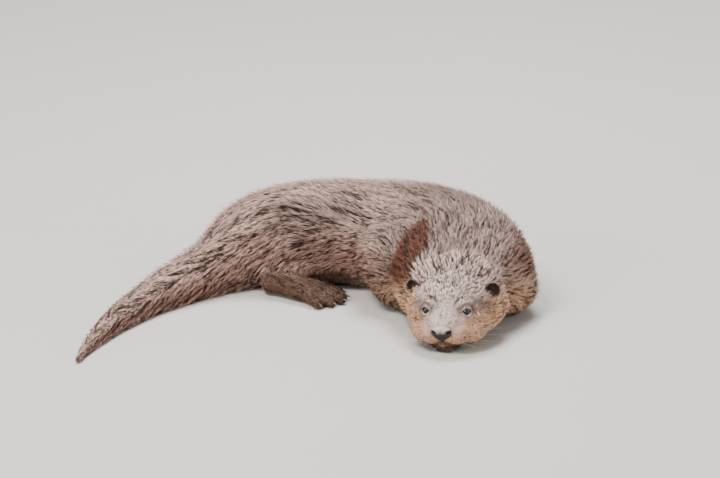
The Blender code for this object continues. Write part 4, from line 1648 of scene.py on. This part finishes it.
class OTTER_OT_nose(Operator):
    """The bare nose with its nostrils"""

    bl_idname = "otter.nose"
    bl_label = "Nose"

    def execute(self, context):
        dress(nose_pad(), nose_material(settings().feature), "nose", "nose")
        return {"FINISHED"}


# ---------------------------------------------------------------- ears
# Where the hollow of an ear ends and its back starts, on the way over the rim from 0 to 1.
HOLLOW_END = 0.46
BACK_START = 0.54
EAR_RADIUS = 0.0088
EAR_RADIUS_BELOW = 0.0078


def ear_axes(side):
    """Middle of an ear and its own axes in the head's frame: outwards, up, and the way it opens."""
    centre = to_head(np.array(middle_of(f"ear_{WORDS[side]}")))
    look = unit(np.array((side * 0.30, -0.93, 0.22)))
    up = along_surface(np.array((side * 0.50, 0.10, 0.86)), look)
    return centre, np.cross(look, up), up, look


def ear_surface(side):
    """A cupped ear: from the bottom of the hollow out to the rounded rim, over it, and down the
    back to the root. The radius grows from 0 to 1 and shrinks again while the depth runs back,
    and the rim lies further back near its foot. Also says how far over the rim each point is."""
    centre, out, up, look = ear_axes(side)
    rows, columns = 49, 48
    v = np.linspace(0, 1, rows)[:, None]
    u = circle(columns)[None]
    quarter = math.pi / 2
    inner = np.clip(v / HOLLOW_END, 0, 1)
    outer = np.clip((v - BACK_START) / (1 - BACK_START), 0, 1)
    lip = np.clip((v - HOLLOW_END) / (BACK_START - HOLLOW_END), 0, 1)
    parts = [v < HOLLOW_END, v > BACK_START]
    radii = [0.90 * np.sin(inner * quarter), 1.0 - 0.50 * outer**1.6]
    radius = np.select(parts, radii, 0.90 + 0.10 * np.sin(lip * quarter))
    depths = [-0.0052 * np.cos(inner * quarter), -0.0100 * outer]
    depth = np.select(parts, depths, 0.0006 * np.sin(lip * math.pi))
    slant = ramp(-np.sin(u), -0.2, 1.0) * np.sin(np.clip(v / BACK_START, 0, 1) * quarter)
    shape = 1 + 0.06 * np.cos(2 * u - 1.1) + 0.045 * np.cos(3 * u + 0.8)
    x = radius * np.cos(u) * shape * EAR_RADIUS
    z = radius * np.sin(u) * shape * np.where(np.sin(u) > 0, EAR_RADIUS, EAR_RADIUS_BELOW)
    place = x[..., None] * out + z[..., None] * up + (depth - 0.0046 * slant)[..., None] * look
    points = centre + place.reshape(-1, 3)
    return points, grid_faces(rows, columns), np.repeat(v.ravel(), columns)


def ear_material(options, coat):
    """Dark hollow, pale rim and a back in the colour of the crown, by the way over the rim."""
    shader = Shader("otter ear", 0.60, Specular_IOR_Level=0.3)
    tint = shader.bands(
        shader.layer("over"),
        (0.38, options.ear_inside),
        (0.45, options.ear_inside),
        (0.50, scaled_tone(coat.tan, 0.12)),
        (0.62, scaled_tone(coat.crown, 0.50)),
    )
    fine = shader.noise(1400, 3)
    shader.bump(fine, 0.0003, 0.7)
    return shader.finish(shader.mottled(tint, fine, 0.6, (0.5, 0.42, 0.38)))


def ear_coat(mesh, side, options, coat):
    """What grow_locks needs for an ear: the hair runs outwards, up and over the rim, shorter and
    darker in the hollow, and the rim is pale above and dark below."""
    places, normals = get_points(mesh), get_normals(mesh)
    over = get_values(mesh, "over")
    centre, _, up, look = ear_axes(side)
    centre, up, look = from_head(centre), up @ HEAD_TURN.T, look @ HEAD_TURN.T
    away = places - centre
    spread = unit(away - np.outer(away @ look, look))
    flow = spread * 0.8 + up * 0.5 + look * (over > 0.5)[:, None] * 0.6
    inside = fall(over, 0.40, 0.48)
    high = ramp(away @ up, 0.001, 0.007)
    rim = bell(over, 0.53, 0.05)
    dark = np.array(options.ear_inside)
    tips = blend(np.array(coat.crown) * 0.58, dark * 1.2, inside)
    tips = blend(tips, dark * 2.4, rim * (1 - high))
    tips = blend(tips, np.array(coat.tan) * 0.40, 0.8 * rim * high)
    return {
        "points": places,
        "normals": normals,
        "triangles": get_triangles(mesh),
        "flow": along_surface(flow, normals),
        "grade": np.full(len(places), 0.1),
        "size": blend(0.75, 0.5, inside) * blend(1.0, 0.7, rim),
        "stand": blend(0.9, 1.3, inside),
        "keep": 1.3 * (over > 0.12),
        "bold": np.ones(len(places)),
        "tip_tint": tips,
        "root_tint": tips * blend(0.30, 0.7, inside)[:, None],
    }


class OTTER_OT_ears(Operator):
    """Cupped ears with dark hollows and short fur on their rims and backs"""

    bl_idname = "otter.ears"
    bl_label = "Ears"

    def execute(self, context):
        options, coat = settings().feature, settings().coat
        material = ear_material(options, coat)
        fur = bpy.data.materials["otter coat"]
        turn = np.random.default_rng(19)
        for word, side in SIDES.items():
            points, faces, over = ear_surface(side)
            ear = new_mesh_object(f"ear_shell_{word}", from_head(points), faces)
            put_values(ear.data, "over", over)
            finish_grid(ear)
            tufts = grow_locks(ear_coat(ear.data, side, options, coat), coat, turn)
            coat_piece(f"coat_ear_{word}", tufts, "face", fur)
            dress(ear, material, "ear", f"ear_{word}")
        return {"FINISHED"}


# ---------------------------------------------------------------- whiskers
HAIR_ROWS, HAIR_COLUMNS = 10, 4
WHISKER_ROWS = 5
WHISKER_CLEARANCE = 0.0015  # how high over the floor the tips end
LOWEST_WHISKER = 0.0004
# Single whiskers over the eye, on the temple and on the chin: root, way and length.
FEW_WHISKERS = (
    ((0.020, 0.040, 0.021), (0.3, 0.1, 0.9), 0.016),
    ((0.024, 0.042, 0.020), (0.5, 0.2, 0.8), 0.020),
    ((0.034, 0.052, 0.002), (0.8, 0.5, -0.2), 0.024),
    ((0.008, 0.012, -0.027), (0.3, -0.4, -0.2), 0.012),
)


def hairs(roots, ways, droops, lengths, widths):
    """Tapering hairs: each follows its way while it droops with the square of the distance, and
    a small ring is carried along it, narrowing to a point."""
    t = np.linspace(0, 1, HAIR_ROWS)
    path = roots[:, None] + lengths[:, None, None] * (
        ways[:, None] * t[None, :, None] + droops[:, None] * (t**2)[None, :, None]
    )
    along = unit(np.gradient(path, axis=1))
    across = unit(np.cross(along, (0.0, 0.3, 1.0)))
    size = (widths[:, None] / 2 * np.clip(1.02 - t, 0.02, 1)[None] ** 0.7)[..., None, None]
    points = ringed(path, across, np.cross(across, along), size, HAIR_COLUMNS)
    one = grid_faces(HAIR_ROWS, HAIR_COLUMNS)
    first = HAIR_ROWS * HAIR_COLUMNS * np.arange(len(roots))[:, None, None]
    return points, (one + first).reshape(-1, 4)


def whisker_places(options, turn):
    """Roots, ways, droops and lengths of all whiskers, in the head's frame: on each side five
    rows on the muzzle, longer towards the cheek, and the few single ones."""
    sets = []
    count = options.whiskers
    in_row = math.ceil(count / WHISKER_ROWS)
    for side in SIDES.values():
        row, step = np.divmod(np.arange(count), in_row)
        step = step / (in_row - 1)
        aside = 0.0135 + 0.017 * step + 0.001 * row
        below = -0.0060 - 0.0034 * row - 0.002 * step
        start = np.stack((aside, 0.0060 + 0.020 * step, below), axis=1)
        start = (start + turn.normal(0, 0.0006, (count, 3))) * (side, 1, 1)
        way = (side * (0.75 + 0.2 * step), -0.10 + 0.60 * step, 0.02 - 0.10 * row)
        way = np.stack(way, axis=1)
        way = unit(way + turn.normal(0, 0.07, way.shape))
        droop = np.stack((np.zeros(count), np.full(count, 0.40), -0.10 - 0.02 * row), axis=1)
        length = options.whisker_length * (0.42 + 0.58 * step) * turn.uniform(0.8, 1.05, count)
        sets.append((start, way, droop, length))
        start, way, length = (np.array(values) for values in zip(*FEW_WHISKERS))
        droop = np.tile((0, 0.25, 0.0), (len(start), 1))
        sets.append((start * (side, 1, 1), unit(way * (side, 1, 1)), droop, length))
    return [np.concatenate(values) for values in zip(*sets)]


def whisker_material(options):
    """Horn, dark at the root and pale towards the tip."""
    shader = Shader("otter whisker", 0.35, Specular_IOR_Level=0.5)
    along = shader.scaled(shader.layer("along"), 0.25, 1.0)
    return shader.finish(shader.mixed(along, scaled_tone(options.whisker, 0.35), options.whisker))


class OTTER_OT_whiskers(Operator):
    """Whiskers in rows on the muzzle, with a few over the eyes and on the chin"""

    bl_idname = "otter.whiskers"
    bl_label = "Whiskers"

    def execute(self, context):
        options = settings().feature
        skin = bpy.data.objects["skin"].data
        tree = BVHTree.FromPolygons(get_points(skin).tolist(), get_triangles(skin).tolist())
        turn = np.random.default_rng(5)
        roots, ways, droops, lengths = whisker_places(options, turn)
        roots = np.array([tree.find_nearest(Vector(root))[0] for root in from_head(roots)])
        ways, droops = ways @ HEAD_TURN.T, droops @ HEAD_TURN.T
        ends = roots[:, 2] + lengths * (ways[:, 2] + droops[:, 2])
        droops[:, 2] += np.maximum(WHISKER_CLEARANCE - ends, 0) / lengths
        widths = options.whisker_width * turn.uniform(0.8, 1.1, len(roots))
        points, faces = hairs(roots, ways, droops, lengths, widths)
        points[:, 2] = np.maximum(points[:, 2], LOWEST_WHISKER)
        obj = new_mesh_object("whiskers", points, faces)
        along = np.repeat(np.linspace(0, 1, HAIR_ROWS), HAIR_COLUMNS)
        put_values(obj.data, "along", np.tile(along, len(roots)))
        dress(finish_grid(obj), whisker_material(options), "fur")
        return {"FINISHED"}


# ---------------------------------------------------------------- claws
def claw_surface(name):
    """A curved horn along its solid's long axis: flattened circles carried along a shallow arch,
    narrowing as the square root of the way that is left. Also says how far along each point is."""
    corners = np.unique(node_points(name).round(6), axis=0)
    middle = corners.mean(axis=0)
    axis = np.linalg.svd(corners - middle)[2][0]
    run = (corners - middle) @ axis
    spread = np.linalg.norm(corners - middle - np.outer(run, axis), axis=1)
    if spread[run > 0].mean() > spread[run < 0].mean():
        axis, run = -axis, -run
    rows, columns = 14, 12
    t = np.linspace(0, 1, rows)
    across = unit(np.cross(axis, UP))
    up = np.cross(across, axis)
    reach = run.max() - run.min()
    arch = 0.10 * reach * (4 * t * (1 - t))
    path = middle + (run.min() + t * reach)[:, None] * axis + arch[:, None] * up
    size = spread.max() * np.sqrt(np.clip(1 - t, 0.0004, 1))[:, None, None] * 0.92
    points = ringed(path, across * 0.8, up, size, columns)
    return points, grid_faces(rows, columns), np.repeat(t, columns)


def claw_material(tone):
    """Horn, paler towards the tip."""
    shader = Shader("otter claw", 0.32, Specular_IOR_Level=0.5)
    tint = shader.mixed(shader.layer("along"), tone, scaled_tone(tone, 2.6))
    return shader.finish(shader.mottled(tint, shader.noise(900, 2), 0.5, (0.5, 0.45, 0.4)))


class OTTER_OT_claws(Operator):
    """Short horn claws at the ends of the toes"""

    bl_idname = "otter.claws"
    bl_label = "Claws"

    def execute(self, context):
        names = sorted(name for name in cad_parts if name.startswith("claw_"))
        if not names:
            raise RuntimeError("the frame holds no claws")
        parts = [claw_surface(name) for name in names]
        points, faces, along = zip(*parts)
        faces = [one + len(points[0]) * k for k, one in enumerate(faces)]
        obj = new_mesh_object("claws", np.concatenate(points), np.concatenate(faces))
        put_values(obj.data, "along", np.concatenate(along))
        dress(finish_grid(obj), claw_material(settings().feature.claw), "claw", *names)
        return {"FINISHED"}


# ---------------------------------------------------------------- stage
FLOOR_REACH = 9.0
LIGHTS_AIM = Vector((0.0, 0.0, 0.05))
WARM, COOL, SKY = (1.0, 0.97, 0.93), (0.98, 0.98, 1.0), (0.95, 0.96, 1.0)
SKY_STRENGTH = 0.36
# Place, size, power and colour of each light.
LIGHTS = {
    "key": ((-0.9, -1.3, 2.4), 1.3, 98, WARM),
    "top": ((0.3, 1.1, 2.2), 1.2, 84, COOL),
    "fill": ((2.0, -1.8, 0.9), 1.6, 30, WARM),
    "front": ((-1.8, -2.2, 0.8), 1.6, 60, WARM),
}


def area_light(name, place, size, power, tint):
    """A round light that shines at the animal."""
    light = bpy.data.lights.new(name, "AREA")
    light.shape = "DISK"
    light.size = size
    light.energy = power
    light.color = tint
    obj = bpy.data.objects.new(name, light)
    obj.location = place
    obj.rotation_euler = (LIGHTS_AIM - Vector(place)).to_track_quat("-Z", "Y").to_euler()
    link(obj)


class OTTER_OT_stage(Operator):
    """A plain pale floor, soft studio light and the camera"""

    bl_idname = "otter.stage"
    bl_label = "Stage"

    def execute(self, context):
        options = settings().stage
        scene = context.scene
        corners = np.array(((-1, -1, 0), (1, -1, 0), (1, 1, 0), (-1, 1, 0))) * FLOOR_REACH
        floor = new_mesh_object("floor", corners, np.array(((0, 1, 2, 3),)), smooth=False)
        shader = Shader("plain floor", 0.75, Specular_IOR_Level=0.2)
        tint = shader.mixed(shader.noise(3, 2), options.floor, scaled_tone(options.floor, 0.97))
        floor.data.materials.append(shader.finish(tint))

        world = bpy.data.worlds.new("studio")
        world.use_nodes = True
        sky = world.node_tree.nodes["Background"]
        sky.inputs["Color"].default_value = (*SKY, 1)
        sky.inputs["Strength"].default_value = SKY_STRENGTH
        scene.world = world
        for name, light in LIGHTS.items():
            area_light(name, *light)

        turn = Euler((0, 0, options.azimuth)).to_matrix()
        e = options.elevation
        back = turn @ Vector((0, -math.cos(e), math.sin(e)))
        up = turn @ Vector((0, math.sin(e), math.cos(e)))
        side = turn @ Vector((1, 0, 0))
        low, high = (Vector(corner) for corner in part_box("nose"))
        nose = Vector(((low.x + high.x) / 2, low.y, (low.z + high.z) / 2))
        target = nose + side * options.aside + up * options.above
        camera = bpy.data.objects.new("camera", bpy.data.cameras.new("camera"))
        camera.data.lens = options.lens
        camera.data.clip_end = 60
        camera.location = target + back * options.distance
        camera.rotation_euler = (-back).to_track_quat("-Z", "Y").to_euler()
        scene.collection.objects.link(camera)
        scene.camera = camera
        return {"FINISHED"}


# ---------------------------------------------------------------- panel and registration
class OTTER_PT_panel(Panel):
    """Lists the otter's pieces and their sizes"""

    bl_label = "Otter"
    bl_idname = "OTTER_PT_panel"
    bl_space_type = "VIEW_3D"
    bl_region_type = "UI"
    bl_category = "Otter"

    def draw(self, context):
        layout = self.layout
        for title, operators, group in PANEL_ROWS:
            box = layout.box()
            box.label(text=title)
            for name in operators:
                box.operator(f"otter.{name}")
            options = getattr(context.scene.otter, group)
            for key in type(options).__annotations__:
                box.prop(options, key)


# Title, operators and settings of each box of the panel, in the order in which they are run.
PANEL_ROWS = (
    ("Skin", ("skin",), "skin"),
    ("Coat", ("coat",), "coat"),
    ("Features", ("eyes", "nose", "ears", "whiskers", "claws"), "feature"),
    ("Stage", ("stage",), "stage"),
)
CLASSES = (
    OtterSkinSettings, OtterCoatSettings, OtterFeatureSettings, OtterStageSettings, OtterSettings,
    OTTER_OT_skin, OTTER_OT_coat, OTTER_OT_eyes, OTTER_OT_nose, OTTER_OT_ears, OTTER_OT_whiskers,
    OTTER_OT_claws, OTTER_OT_stage, OTTER_PT_panel,
)


def register():
    for item in CLASSES:
        bpy.utils.register_class(item)
    bpy.types.Scene.otter = PointerProperty(type=OtterSettings)


def unregister():
    del bpy.types.Scene.otter
    for item in reversed(CLASSES):
        bpy.utils.unregister_class(item)


def main():
    """Builds the whole animal and its stage."""
    register()
    for _, operators, _ in PANEL_ROWS:
        for name in operators:
            getattr(bpy.ops.otter, name)()


if __name__ == "__main__":
    main()
